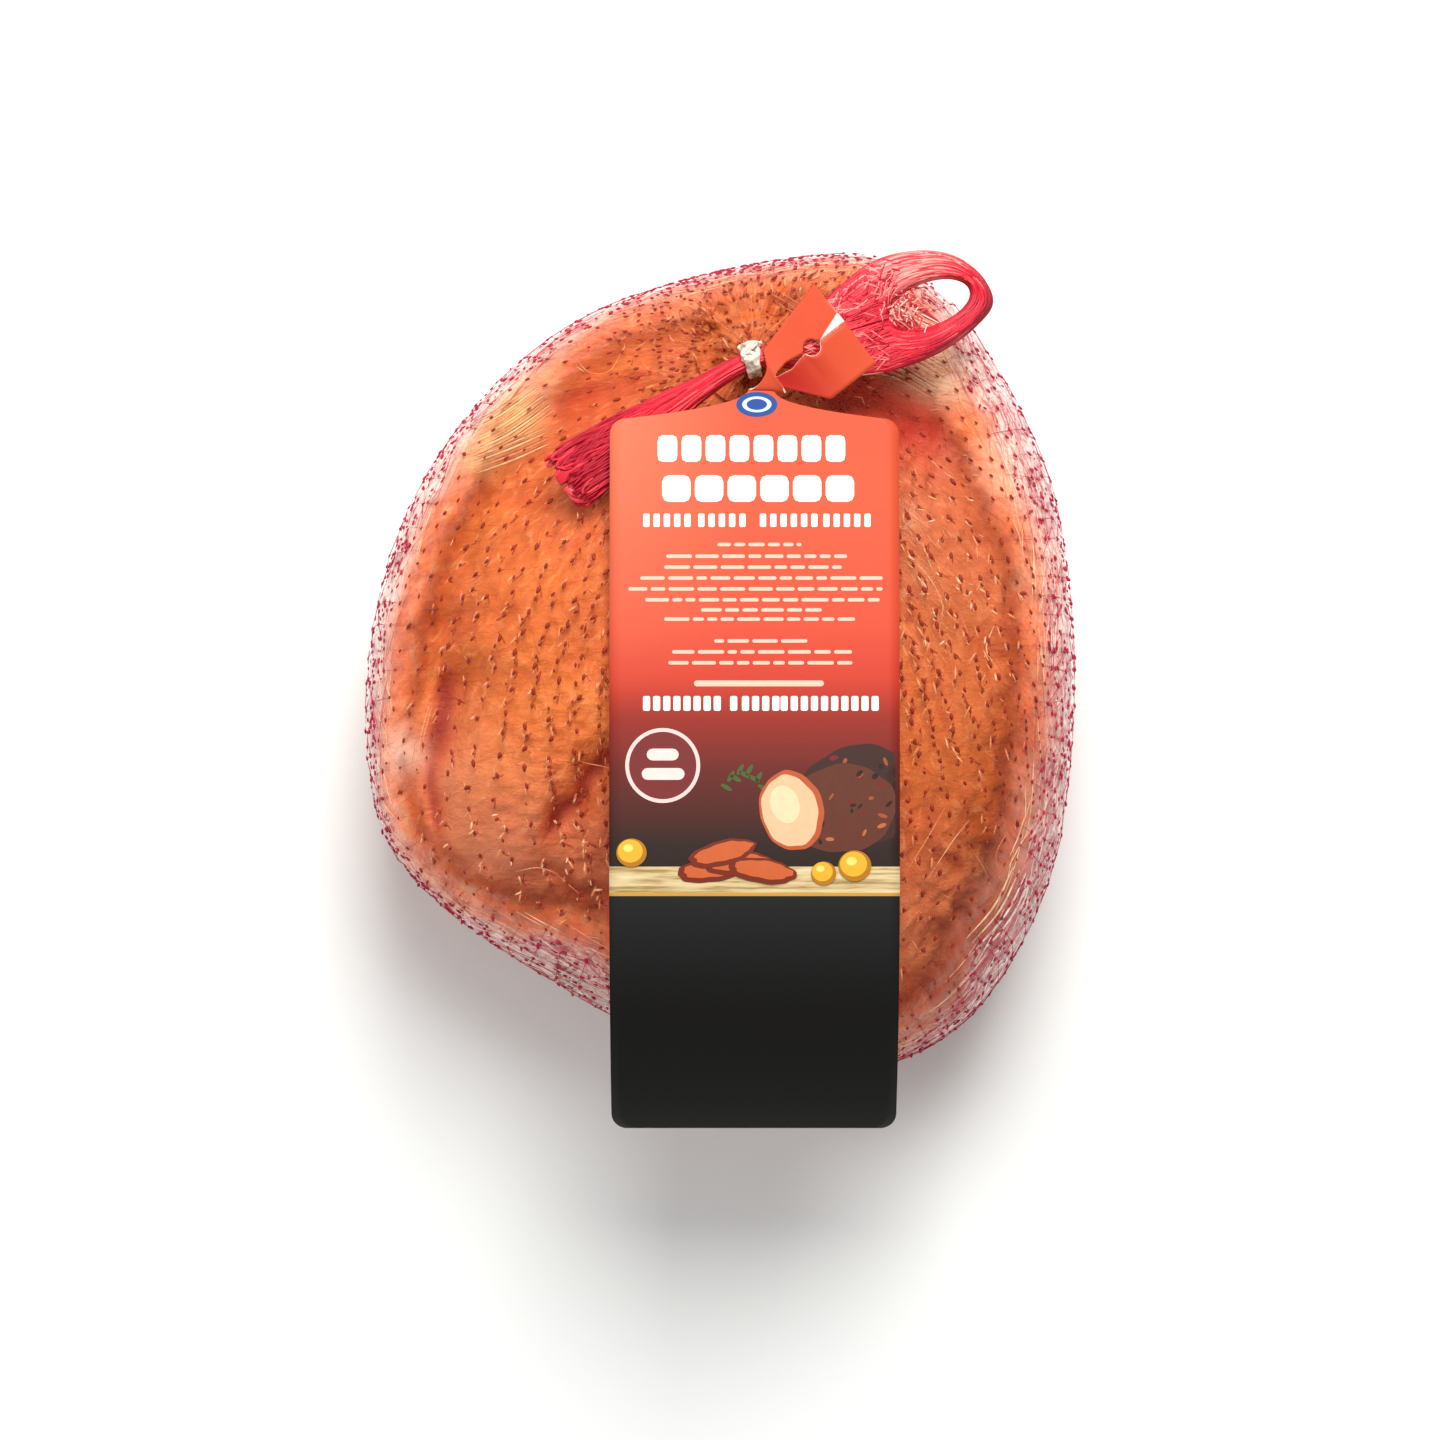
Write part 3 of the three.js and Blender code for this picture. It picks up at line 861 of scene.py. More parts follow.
# Where its milky sides are darker, with painted shade towards the bottom and the lower right, and where
# they are paler and more golden, in the same way
film_painted_shade = [(66, -66, 32, 0.95), (-14, -100, 34, 0.85), (88, -20, 22, 0.4)]
film_pale = [(-92, 10, 44, 1.0), (-66, 70, 36, 1.0), (-50, -88, 22, 0.7)]
film_sunny = [(-54, 54, 15, 1.6), (48, 24, 14, 0.8), (50, 71, 16, 0.4)]


def tree_of(places):
    tree = KDTree(len(places))
    for number, place in enumerate(places):
        tree.insert(place, number)
    tree.balance()
    return tree


knot_tree = tree_of([knot for ring in lattice.rings for knot in ring])
quarters = [net_runs[:, :-1] + (net_runs[:, 1:] - net_runs[:, :-1]) * part / 4 for part in range(4)]
thread_tree = tree_of(np.concatenate([part.reshape(-1, 3) for part in quarters]).tolist())


def netted(points, bulge, dimple):
    """How far the net lets a surface swell in its diamonds, and presses it in at threads and knots"""
    from_thread = np.array([thread_tree.find(p)[2] for p in points]) / MM
    from_knot = np.array([knot_tree.find(p)[2] for p in points]) / MM
    swell = np.sin(np.clip(from_thread / 2.4, 0, 1) * math.pi / 2) - 1
    return bulge * swell - dimple * np.exp(-((from_knot / 1.2) ** 2))


def press_net(piece, bulge, dimple, crease):
    points = points_of(piece)
    out = points - np.array(heart)
    out /= np.linalg.norm(out, axis=1)[:, None]
    pressed = netted(points + out * 1.2 * MM, bulge, dimple)
    pressed += crease * (drawn_to_clip(points)[0] - 0.3) + 0.2 * cloud(points, 5, 12, 2)
    points += out * pressed[:, None] * MM * np.clip((points[:, 2] / MM - 20) / 20, 0, 1)[:, None]
    set_points(piece, points)


press_net(meat, 0.6, 0.4, 0.8)


def shape_film(film):
    points = points_of(film)
    out = points - np.array(heart)
    length = np.linalg.norm(out, axis=1)
    raised = netted(points, 0.5, 0.4) + 0.1 - film_under_net
    crinkle, from_neck, round_neck = drawn_to_clip(points)
    on_top = points[:, 2] > 55 * MM
    pleat = np.cos(round_neck * 19 + 2 * np.sin(round_neck * 3)) + 0.6 * np.cos(round_neck * 43 + 1)
    raised += 0.12 * pleat * np.exp(-(((from_neck - 15) / 9) ** 2)) * on_top
    raised += 0.4 * crinkle * on_top
    raised += 0.2 * cloud(points, 9, 5, 2)
    points += out / length[:, None] * np.clip(raised, -1.4, 0.4)[:, None] * MM
    points[:, 2] = np.maximum(points[:, 2], 0.05 * MM)
    set_points(film, points)
    past = np.clip((past_rim(points, meat_rim) + 10) / 20, 0, 1)
    turn = np.arctan2(points[:, 1], points[:, 0])
    shares = {
        "past": past, "haze": blots(points, film_haze) * on_top, "deep": blots(points, film_painted_shade),
        "pale": blots(points, film_pale), "sunny": blots(points, film_sunny),
    }
    for name, values in shares.items():
        set_field(film, name, np.clip(values, 0, 1))
    set_fan(film, from_neck, round_neck)
    set_field(film, "round_x", np.cos(turn))
    set_field(film, "round_y", np.sin(turn))
    set_field(film, "past_and_down", past * 16 - points[:, 2] / (4 * MM))


shape_film(film)
film_rim = rim_of(film)


def film_look():
    """Clear film that mostly mirrors the light over the meat, and is milky and pink where it is slack"""
    look = Look("clear_film")
    fan = look.joined(("fan_x", 24), ("fan_y", 24), ("fan_reach", 9))
    crinkle = look.noise(1, 4, 0.6, place=fan, distortion=0.6)
    normal = look.bump(crinkle, 0.7, 0.0018)
    normal = look.bump(look.noise(330, 3, 0.6, distortion=0.6), 0.5, 0.0009, normal)
    past = look.field("past")
    haze = look.field("haze")
    rim = look.joined(("round_x", 19), ("round_y", 19), ("past_and_down", 1))
    pleats = look.noise(1, 3, 0.6, place=rim, distortion=0.5)
    mottle = look.noise(120, 4, 0.65)
    specks = look.noise(620, 2, 0.6)
    # Just inside the meat's edge the milk is an orange veil in the colour of the lit meat, painted over the
    # shade where the meat curves down under the film
    milk = look.ramp(
        past, (0.1, 238, 112, 52), (0.3, 244, 116, 60), (0.45, 246, 134, 90), (0.6, 248, 160, 134),
        (0.75, 242, 178, 168), (0.95, 250, 214, 212),
    )
    inside = look.ramp(past, (0.4, 1.0), (0.62, 0.0))
    edge_share = look.ramp(past, (0.48, 0.0), (0.68, 1.0))
    milk = look.layered(milk, [
        (look.math("MULTIPLY", look.ramp(mottle, (0.4, 0.5), (0.52, 0.0)), inside), (196, 78, 44)),
        (look.math("MULTIPLY", look.ramp(mottle, (0.54, 0.0), (0.66, 0.5)), inside), (250, 168, 116)),
    ])
    hazy = look.blend(look.field("sunny"), rgb(255, 196, 168), rgb(240, 194, 128))
    milk = look.blend(look.math("MULTIPLY", haze, 1.4, clamp=True), milk, hazy)
    pale_share = look.math("MULTIPLY", look.field("pale"), look.ramp(past, (0.4, 0.0), (0.62, 0.85)))
    # The deep field paints shade on the slack film towards the bottom and the lower right
    milk = look.layered(milk, [
        (look.math("MULTIPLY", look.field("deep"), 0.8), (166, 72, 50)),
        (pale_share, (250, 224, 208)),
        (look.math("MULTIPLY", look.ramp(pleats, (0.40, 0.8), (0.49, 0.0)), edge_share), (196, 62, 80)),
        (look.math("MULTIPLY", look.ramp(pleats, (0.53, 0.0), (0.61, 0.9)), edge_share), (255, 234, 222)),
        (look.math("MULTIPLY", look.ramp(specks, (0.6, 0.0), (0.68, 0.8)), edge_share), (170, 30, 60)),
    ])
    slack = look.ramp(past, (0.0, 0.05), (0.1, 0.34), (0.22, 0.74), (0.34, 0.9), (0.52, 0.94), (1.0, 0.84))
    slack = look.math("MAXIMUM", slack, haze)
    milky = look.math("MULTIPLY", slack, 20, clamp=True)
    look.set(Base_Color=look.blend(milky, rgb(255, 226, 190), milk), Roughness=0.17, Normal=normal)
    look.set(Metallic=look.math("MULTIPLY_ADD", slack, -20.0, 0.92, clamp=True), Specular_IOR_Level=0.5)
    clear = look.node("ShaderNodeBsdfTransparent", {"Color": (1.0, 0.985, 0.97, 1)}).outputs[0]
    edge = look.node("ShaderNodeLayerWeight", {"Blend": 0.3, "Normal": normal}).outputs["Facing"]
    share = look.math("MULTIPLY_ADD", look.math("POWER", edge, 3.0), 0.3, 0.035)
    streak = look.ramp(crinkle, (0.38, 0.75), (0.54, 1.0))
    share = look.math("ADD", share, look.math("MULTIPLY", slack, streak), clamp=True)
    mixed = look.node("ShaderNodeMixShader", {0: share, 1: clear, 2: look.shader.outputs[0]}).outputs[0]
    look.put(look.output.inputs["Surface"], mixed)
    return look.material


film.data.materials.append(film_look())
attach(film, "root")
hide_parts("wrapped_joint")

# Folds that stand up in the film as fine ribs: a line through points, how many ribs, and how far apart.
# Over the meat the ribs are painted glints of light along the folds, with dark ribs of painted shade beside
# them in the wider folds; past the meat they are milky and crimson pleats.
film_folds_and_glints = [
    ([(60, -39), (56, -44), (52, -50), (50, -53)], 1, 1.1),
    ([(45, -51), (50, -43), (54, -36)], 1, 1.0),
    ([(44, -66), (48, -61), (51, -67)], 1, 0.9),
    ([(60, -45), (64, -51), (66, -56)], 1, 1.0),
    ([(70, -42), (67, -48), (69, -55)], 1, 1.2),
    ([(62, -70), (69, -62), (74, -52)], 4, 1.8),
    ([(44, 24), (49, 22), (54, 14), (54, 8)], 2, 1.8),
    ([(43, 38), (48, 34), (52, 31)], 2, 1.4),
    ([(44, 30), (50, 26)], 1, 0.9),
    ([(66, 8), (64, 2), (67, -3)], 1, 1.0),
    ([(60, 12), (66, 9), (70, 2)], 1, 1.2),
    ([(-49.5, -51.5), (-44, -50.5), (-39, -52)], 1, 1.0),
    ([(-39.5, -52), (-36, -55), (-33, -57.5)], 1, 1.0),
    ([(-34, -25), (-29, -26), (-25, -27)], 1, 0.9),
    ([(-70.5, -11), (-72.5, -18), (-74, -26)], 3, 1.0),
    ([(-36, 75), (-32, 70), (-27, 70), (-24, 75)], 1, 0.9),
    ([(-62, 53), (-53, 57), (-43, 64)], 7, 1.4),
    ([(-60, 47), (-51, 50), (-42, 54)], 4, 1.4),
    ([(-52, -90), (-44, -84), (-34, -78)], 5, 1.6),
    ([(-54, -70), (-42, -76), (-28, -84)], 4, 2.2),
    ([(30, 73), (42, 73), (54, 67)], 9, 1.1),
    ([(12, 90), (18, 86), (22, 84)], 3, 1.5),
]
# Short crinkles that point to the clip, painted as glints of light, and long pleats along the slack sides
crinkle_glints = 480
side_pleats = 420
rib_points = 14


def rib(line, sideways, height):
    """One rib as places over the form, beside a line in plan"""
    line = curve_through(line, rib_points, 12)
    way = np.gradient(line, axis=0)
    way /= np.linalg.norm(way, axis=1, keepdims=True)
    line = line + np.stack([-way[:, 1], way[:, 0]], -1) * sideways
    return [list(lying_on(x, y, height)[0]) for x, y in line]


def towards_clip(x, y, turn, reach):
    """A short bent line in plan that points to the clip, but for a turn"""
    way = np.array([neck_foot.x / MM - x, neck_foot.y / MM - y])
    way /= np.linalg.norm(way) + 1e-6
    turned = np.array([[math.cos(turn), -math.sin(turn)], [math.sin(turn), math.cos(turn)]])
    way = turned @ way
    bend = np.array([-way[1], way[0]]) * 0.2 * reach * math.sin(turn * 9)
    middle = np.array([x, y])
    return [middle - way * reach, middle + bend, middle + way * reach]


def shows_on_top(x, y):
    """True where a place in plan lies on the joint, and not under the tag"""
    under_tag = -30 < x < 42 and y < 62
    hit = lattice.tree.ray_cast(Vector((x, y, 150)) * MM, Vector((0, 0, -1)))[0]
    return hit is not None and not under_tag


def fold_ribs(draw):
    """The ribs of the larger folds; a fold of many ribs is stronger, with a dark rib of painted shade by each
    rib
    """
    for line, count, apart in film_folds_and_glints:
        wide_fold = count > 3
        for number in range(count):
            sideways = (number - (count - 1) / 2) * apart + draw.uniform(-0.2, 0.2)
            tone = draw.uniform(0.55, 0.9) + 0.15 * wide_fold
            yield rib(line, sideways, 0.1), tone, draw.uniform(0.1, 0.17) + 0.14 * wide_fold
            if wide_fold:
                yield rib(line, sideways + 0.5, -0.05), draw.uniform(0.0, 0.3), draw.uniform(0.14, 0.22)


def crinkle_ribs(draw):
    for number in range(crinkle_glints):
        x, y = draw.uniform(-84, 84), draw.uniform(-96, 92)
        if number % 2 == 0:
            x, y = draw.gauss(50, 7), draw.gauss(22, 14)
        if number % 5 == 1:
            x, y = draw.gauss(52, 9), draw.gauss(70, 5)
        on_lobe = number % 4 == 3
        if on_lobe:
            x, y = draw.uniform(-44, 12), draw.gauss(83, 6)
        if shows_on_top(x, y):
            turn = draw.gauss(0, 0.3) + on_lobe * draw.choice([-0.8, 0.8])
            path = rib(towards_clip(x, y, turn, draw.uniform(0.6, 1.8)), 0, 0.08)
            yield path, draw.triangular(0.35, 0.9, 0.65), draw.uniform(0.08, 0.15)


def side_ribs(draw):
    spread = np.linspace(-1, 1, 5)
    for number in range(side_pleats):
        turn = draw.uniform(0, 360)
        arc = turn + spread * draw.uniform(1.5, 7)
        inset = draw.uniform(0.3, 1.3) * gap_towards(np.array([turn]))[0] + spread * draw.gauss(0, 0.8)
        reach = rim_towards(arc % 360, film_rim) / MM - np.maximum(inset, 0.2)
        path = rib([plan_at(a, r) for a, r in zip(arc, reach)], 0, 0.05)
        yield path, draw.choice([draw.uniform(0.7, 1.0), draw.uniform(0.2, 0.5)]), draw.uniform(0.08, 0.18)


draw = random.Random(19)
paths, tones, sizes = zip(*fold_ribs(draw), *crinkle_ribs(draw), *side_ribs(draw))
rib_taper = 0.25 + 0.75 * np.sin(np.linspace(0, math.pi, rib_points))
folds = threads("film_folds_and_glints", paths, np.array(sizes)[:, None] * rib_taper, tones, up=(0, 0, 1), sides=5)
show_past_meat(folds)
# Over the meat the ribs run from painted shade to painted cream highlight; past it, from crimson to milky white
look = Look("folded_film_glints")
tone = look.field("tone")
rib_shade_to_glint = look.ramp(tone, (0.0, 140, 42, 24), (0.35, 214, 96, 54), (0.65, 244, 152, 96), (0.9, 255, 222, 176))
slack = look.ramp(tone, (0.0, 150, 24, 48), (0.3, 204, 84, 98), (0.6, 244, 178, 170), (0.85, 255, 240, 232))
look.set(Base_Color=look.blend(look.field("shown"), rib_shade_to_glint, slack), Roughness=0.25, Specular_IOR_Level=0.5)
look.set(Alpha=look.math("MULTIPLY_ADD", look.noise(330, 2, 0.5), 1.3, -0.25, clamp=True))
look.set(Normal=look.bump(look.noise(1500, 2, 0.5), 0.3, 0.0004))
folds.data.materials.append(look.material)
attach(folds, "root")
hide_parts("wrapped_joint")

# Small marks painted on the film beside the knots, where each knot draws it up towards the clip: glints of
# painted highlight, paler strokes of painted light beside the knots and, on their other side, dark ticks of
# painted shade. They stand only where the film lies on the meat.
glint_long, glint_wide, glint_off = 2.8, 0.75, 1.1


most_glints_place = [(48, 24, 18, 0.9)]


def glint_places(seed, lowest, highest, everywhere, aside=1.0):
    """Beside which knots a mark stands, and its axes and size"""
    draw = random.Random(seed)
    places = []
    for place, along, side, over, size in all_knots:
        here = np.array([place])
        mark_chance = everywhere + 1.4 * noise.noise(place * 28) + blots(here, most_glints_place)[0]
        if past_rim(here, meat_rim)[0] >= -2 or over.z < 0.5 or draw.random() > mark_chance:
            continue
        way = neck_foot - place
        way = (way - over * way.dot(over)).normalized()
        way = (way + shaken(draw, 0.45)).normalized()
        beside = over.cross(way).normalized()
        off = beside * aside * glint_off * draw.uniform(0.5, 1.3) - way * draw.uniform(-0.5, 1) - over * 0.15
        places.append((place + off * MM, way, beside, over, draw.uniform(lowest, highest)))
    return places


def painted_mark_look(name, first, second, thinning):
    # A painted mark on the film: two colours mottled together, and broken up by its alpha
    look = Look(name)
    colour = look.blend(look.noise(150, 2, 0.5), rgb(*first), rgb(*second))
    look.set(Base_Color=colour, Roughness=0.2, Specular_IOR_Level=0.6)
    look.set(Alpha=look.math("MULTIPLY_ADD", look.noise(90, 2, 0.6), 1.6, thinning, clamp=True))
    look.set(Normal=look.bump(look.noise(1800, 2, 0.5), 0.3, 0.0004))
    return look.material


deselect_all()
bpy.ops.mesh.primitive_ico_sphere_add(subdivisions=1, radius=0.5 * MM)
glint = bpy.context.object
set_points(glint, points_of(glint) * (glint_long, glint_wide, glint_wide))
glints = scatter("film_glints", glint, glint_places(27, 0.3, 0.95, -0.15))
glints.data.materials.append(painted_mark_look("painted_glint_film", (255, 226, 180), (255, 184, 128), -0.3))
set_points(glint, points_of(glint) * (1.4, 1.1, 0.4))
light_strokes = scatter("film_light_strokes", glint, glint_places(41, 0.3, 1.1, 0.7))
light_strokes.data.materials.append(painted_mark_look("painted_light_film", (252, 176, 120), (246, 150, 96), -0.36))
ticks = scatter("film_ticks", glint, glint_places(64, 0.4, 1.1, 0.8, -0.6))
ticks.data.materials.append(painted_mark_look("shaded_film", (140, 34, 18), (184, 56, 30), -0.35))
bpy.data.objects.remove(glint)
for piece in (glints, light_strokes, ticks):
    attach(piece, "root")
    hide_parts("wrapped_joint")

# The drawn neck
# Above the hollow in the top of the joint, the film and the net are gathered to one pleated cone of
# slack plastic, which rises into the clip.


def sheet(name, columns, rows, place):
    """A grid of faces, laid out by a rule that turns the shares across and along it into places"""
    deselect_all()
    bpy.ops.mesh.primitive_grid_add(x_subdivisions=columns, y_subdivisions=rows, size=1)
    piece = bpy.context.object
    piece.name = name
    shares = points_of(piece)[:, :2] + 0.5
    set_points(piece, place(shares[:, 0], shares[:, 1]))
    with editing(piece):
        bpy.ops.mesh.remove_doubles(threshold=0.002 * MM)
        bpy.ops.mesh.normals_make_consistent(inside=False)
    bpy.ops.object.shade_smooth()
    return piece


def gathered_look(name, streaks, *stops):
    """Gathered net: fine streaks along the bundle that also drive its bump, painted dark as shade in the low
    folds and bright on the high threads, partly as painted highlight
    """
    look = Look(name)
    bundle = look.stretched((*streaks, 1), coordinate="UV")
    streak = look.noise(1, 4, 0.65, place=bundle, distortion=0.3)
    look.set(Base_Color=look.ramp(streak, *stops), Roughness=0.38, Specular_IOR_Level=0.6)
    look.set(Normal=look.bump(streak, 0.8, 0.0012))
    return look.material


neck = sheet("net_neck", 180, 24, lambda across, along: neck_at(across * math.tau, along))
from_neck, round_neck = drawn_to_clip(points_of(neck))[1:]
set_field(neck, "lobe", np.ones(len(from_neck)))
set_field(neck, "fan_x", np.cos(round_neck))
set_field(neck, "fan_y", np.sin(round_neck))
neck.data.materials.append(meat.data.materials[0])
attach(neck, "root")
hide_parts("wrapped_joint")

# The net's tail
# Beyond the clip the cut end of the net lies to the left and down over the joint. It fans out to
# ragged loops where the threads were cut, and goes under the corner of the tag.
tail_line = [
    (11, 72.3, 98.8), (7.6, 71.2, 98.8), (2, 68.5, 98.4), (-10, 61, 96.8), (-22, 53, 96.4), (-38, 41, 97.4),
]
tail_half_width = (2.2, 8.2)
tail_half_depth = (1.9, 1.8)


tail_path = curve_through(tail_line, 200)


def along_path(path, share):
    at = np.clip(share, 0, 1) * (len(path) - 1)
    return np.stack([np.interp(at, np.arange(len(path)), column) for column in path.T], -1)


def tail_at(turn, share, size):
    """A place in the tail, by its turn round it, its share of the way along and of the way out"""
    share = np.clip(share, 0, 1)
    middle = along_path(tail_path, share)
    along = along_path(tail_path, share + 0.01) - along_path(tail_path, share - 0.01)
    along /= np.linalg.norm(along, axis=-1, keepdims=True)
    side = np.cross(along, (0, 0, 1))
    side /= np.linalg.norm(side, axis=-1, keepdims=True)
    over = np.cross(side, along)
    spread = eased(np.clip((share - 0.12) / 0.88, 0, 1))
    wide = tail_half_width[0] + (tail_half_width[1] - tail_half_width[0]) * spread
    deep = tail_half_depth[0] + (tail_half_depth[1] - tail_half_depth[0]) * spread
    place = middle + side * (wide * np.cos(turn) * size)[..., None]
    return (place + over * (deep * np.sin(turn) * size)[..., None]) * MM


def tail_core_at(across, along):
    turn = across * math.tau
    pleat = 1 + (0.1 * np.cos(turn * 11 + 4 * along) + 0.08 * np.cos(turn * 23)) * along
    torn = 0.97 - 0.05 * np.cos(turn * 3) - 0.03 * np.cos(turn * 8 + 1)
    closing = np.clip((1 - along) * 14, 0, 1) ** 0.5
    return tail_at(turn, along * torn, 0.86 * pleat * (0.15 + 0.85 * closing))


tail_core = sheet("tail_core", 120, 60, tail_core_at)
tail_core.data.materials.append(gathered_look(
    "tail_pleats", (14, 2.2),
    (0.26, 160, 2, 30), (0.42, 200, 10, 40), (0.58, 226, 34, 56), (0.78, 240, 84, 92),
))
tail_strands, tail_snags = 190, 12
tail_points = 44


def strand_look(name, *stops):
    """Single net threads, each with its own tone"""
    look = Look(name)
    mottle = look.math("MULTIPLY", look.noise(150, 3, 0.6), 0.3)
    tone = look.math("ADD", look.field("tone"), look.math("SUBTRACT", mottle, 0.15), clamp=True)
    look.set(Base_Color=look.ramp(tone, *stops), Roughness=0.36, Specular_IOR_Level=0.32)
    look.set(Normal=look.bump(look.noise(1600, 2, 0.5), 0.2, 0.0004))
    return look.material


def tail_thread_paths():
    """The tail's long threads, and short ones that loop back at its torn end"""
    draw = random.Random(21)
    paths = []
    tones = []
    steps = np.linspace(0, 1, tail_points)
    for strand in range(tail_strands):
        turn = draw.uniform(0, math.tau)
        end = draw.uniform(0.86, 0.985)
        drift = draw.uniform(-0.9, 0.9)
        wave = draw.uniform(0, math.tau)
        share = steps * end
        turns = turn + drift * share + 0.25 * np.sin(share * 9 + wave) * share
        size = np.clip(draw.uniform(0.82, 0.95) + 0.03 * np.sin(share * 14 + wave), 0.6, 1)
        paths.append(tail_at(turns, share, size))
        upper = 0.5 + 0.5 * math.cos(turn)
        deeper = 0.8 * np.clip((share - 0.58) / 0.22, 0, 1) * (0.6 + 0.4 * math.sin(turn / 2))
        tones.append(np.clip(draw.gauss(0.42, 0.2) + 0.25 * (1 - upper) - deeper, 0, 1))
    for loop in range(tail_snags):
        turn = draw.uniform(0, math.tau)
        gap = draw.uniform(0.15, 0.4)
        root = draw.uniform(0.82, 0.9)
        reach = draw.uniform(0.06, 0.12)
        arc = np.linspace(0, math.pi, tail_points)
        share = np.minimum(root + reach * np.sin(arc), 0.995)
        paths.append(tail_at(turn + gap * np.cos(arc), share, np.full(tail_points, 0.9)))
        tones.append(np.full(tail_points, draw.uniform(0.0, 0.8)))
    return paths, tones


paths, tones = tail_thread_paths()
tail_threads = threads("tail_threads", paths, 0.34, tones, up=(0, 0, 1), flat=0.5)
tail_threads.data.materials.append(strand_look(
    "tail_thread", (0.0, 170, 4, 36), (0.35, 214, 20, 50), (0.65, 232, 48, 62), (1.0, 242, 108, 106),
))
for piece in (tail_core, tail_threads):
    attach(piece, "root")
    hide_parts("net_tail")

# The carry loop
# On the other side of the clip the net is folded back on itself as a loop to carry the joint by. Its
# threads run up one side, round the eye and back, and some cross the eye's near end as a loose web.
loop_outline = [
    (12, 72.5), (13.2, 75), (19.5, 80), (28.5, 89), (36, 95), (45, 97.8), (55, 97.5), (62.5, 93), (66, 86),
    (61.5, 79.8), (54.5, 74.5), (47, 70.8), (37.5, 68), (26.5, 67.5), (14, 70),
]
loop_eye = (50.5, 85.2)
eye_half = (10.6, 5.2)
eye_turn = math.radians(22)
eye_start = 0.25
loop_half_depth = 2.2
loop_rim = curve_through(loop_outline, 400, closed=True)
loop_strands, loop_snag_count, loop_points, snag_points = 260, 200, 90, 8
web_strands, web_scraps, web_points = 90, 130, 14
loop_root = np.array(loop_outline[0])


def loop_height(x):
    """How high the loop's middle lies, which falls towards the eye"""
    return 97.2 - 12 * np.clip((x - 12) / 54, 0, 1) ** 1.6


def loop_inner(share):
    """The line that the threads turn round: out along the middle of the bundle, round the eye and back"""
    round_eye = np.clip((share - eye_start) / (1 - 2 * eye_start), 0, 1)
    angle = math.pi - round_eye * math.tau
    long = eye_half[0] * np.cos(angle)
    wide = eye_half[1] * np.sin(angle)
    x = loop_eye[0] + long * math.cos(eye_turn) - wide * math.sin(eye_turn)
    y = loop_eye[1] + long * math.sin(eye_turn) + wide * math.cos(eye_turn)
    out = np.clip(np.minimum(share, 1 - share) / eye_start, 0, 1)
    return loop_root + (np.stack([x, y], -1) - loop_root) * out[..., None]


def loop_at(share, across, depth):
    """A place in the loop: along it, out from its inner line to its rim, and up from its middle"""
    rim = along_path(loop_rim, share)
    plan = loop_inner(share) + (rim - loop_inner(share)) * across[..., None]
    near_eye = np.clip((np.minimum(share, 1 - share) - eye_start * 0.75) / (eye_start * 0.4), 0, 1)
    off = across * (1 - near_eye) + (2 * across - 1) * near_eye
    thick = loop_half_depth * np.sqrt(np.clip(1 - np.abs(off) ** 2.4, 0, 1))
    thick *= np.clip(0.55 + np.minimum(share, 1 - share) * 6, 0, 1)
    # Some of it swells up through the hole in the tag
    in_hole = np.exp(-((plan[..., 0] - 21.9) ** 2 + (plan[..., 1] - 73.8) ** 2) / 7)
    thick = thick + np.where(depth > 0, 2.5 * in_hole, 0)
    return np.concatenate([plan, (loop_height(plan[..., 0]) + thick * depth)[..., None]], -1) * MM


def loop_core_at(across, along):
    out = 1 - np.abs(2 * across - 1)
    level = np.where(across < 0.5, 1.0, -1.0)
    pleat = 0.84 + 0.08 * np.cos(out * 34 + 5 * np.sin(along * 9)) + 0.06 * np.cos(out * 71 + along * 20)
    return loop_at(along, out * 0.97, level * pleat)


loop_core = sheet("loop_core", 56, 220, loop_core_at)
loop_core.data.materials.append(gathered_look(
    "loop_pleats", (14, 12),
    (0.26, 166, 4, 38), (0.40, 210, 22, 52), (0.54, 230, 48, 68), (0.72, 244, 108, 106),
))
# Where the loop's threads are lighter and where darker, in plan
loop_light = [(50, 96, 9, 1.0), (40, 92, 7, 0.6)]
loop_dark = [(62, 86, 5, 1.0), (36, 84, 6, 0.7), (50, 73, 8, 0.6)]


def loop_thread_paths():
    """The long threads, most of them on top, that run out along the loop, round its eye and back"""
    draw = random.Random(33)
    paths = []
    tones = []
    for strand in range(loop_strands):
        top = draw.random() < 0.72
        start, end = draw.uniform(0, 0.04), 1 - draw.uniform(0, 0.04)
        share = np.linspace(start, end, loop_points)
        base = draw.uniform(0.04, 0.96)
        wave = draw.uniform(0, math.tau)
        sway = draw.uniform(0.03, 0.12)
        across = np.clip(base + sway * np.sin(share * draw.uniform(9, 22) + wave), 0.03, 0.965)
        lift = (0.9 + 0.05 * np.sin(share * 31 + wave)) * (1 if top else -1)
        path = loop_at(share, across, lift)
        paths.append(path)
        lighter = 0.35 * blots(path, loop_light) - 0.45 * blots(path, loop_dark)
        tones.append(np.clip(draw.gauss(0.45, 0.26) + lighter, 0, 1))
    return paths, tones


def loop_snag_paths():
    """Short threads that cross the others at the end of the loop next to the tag"""
    draw = random.Random(34)
    paths = []
    tones = []
    steps = np.linspace(-1, 1, snag_points)
    for strand in range(loop_snag_count):
        share = draw.choice([draw.uniform(0.1, 0.3), draw.uniform(0.76, 0.92)]) + (steps + 1) * 0.01
        across = np.clip(draw.uniform(0.1, 0.9) + steps * draw.uniform(-0.12, 0.12), 0.04, 0.96)
        paths.append(loop_at(share, across, np.full(snag_points, 0.99)))
        tones.append(draw.choice([draw.uniform(0.75, 0.95), draw.uniform(0, 0.2)]))
    return paths, tones


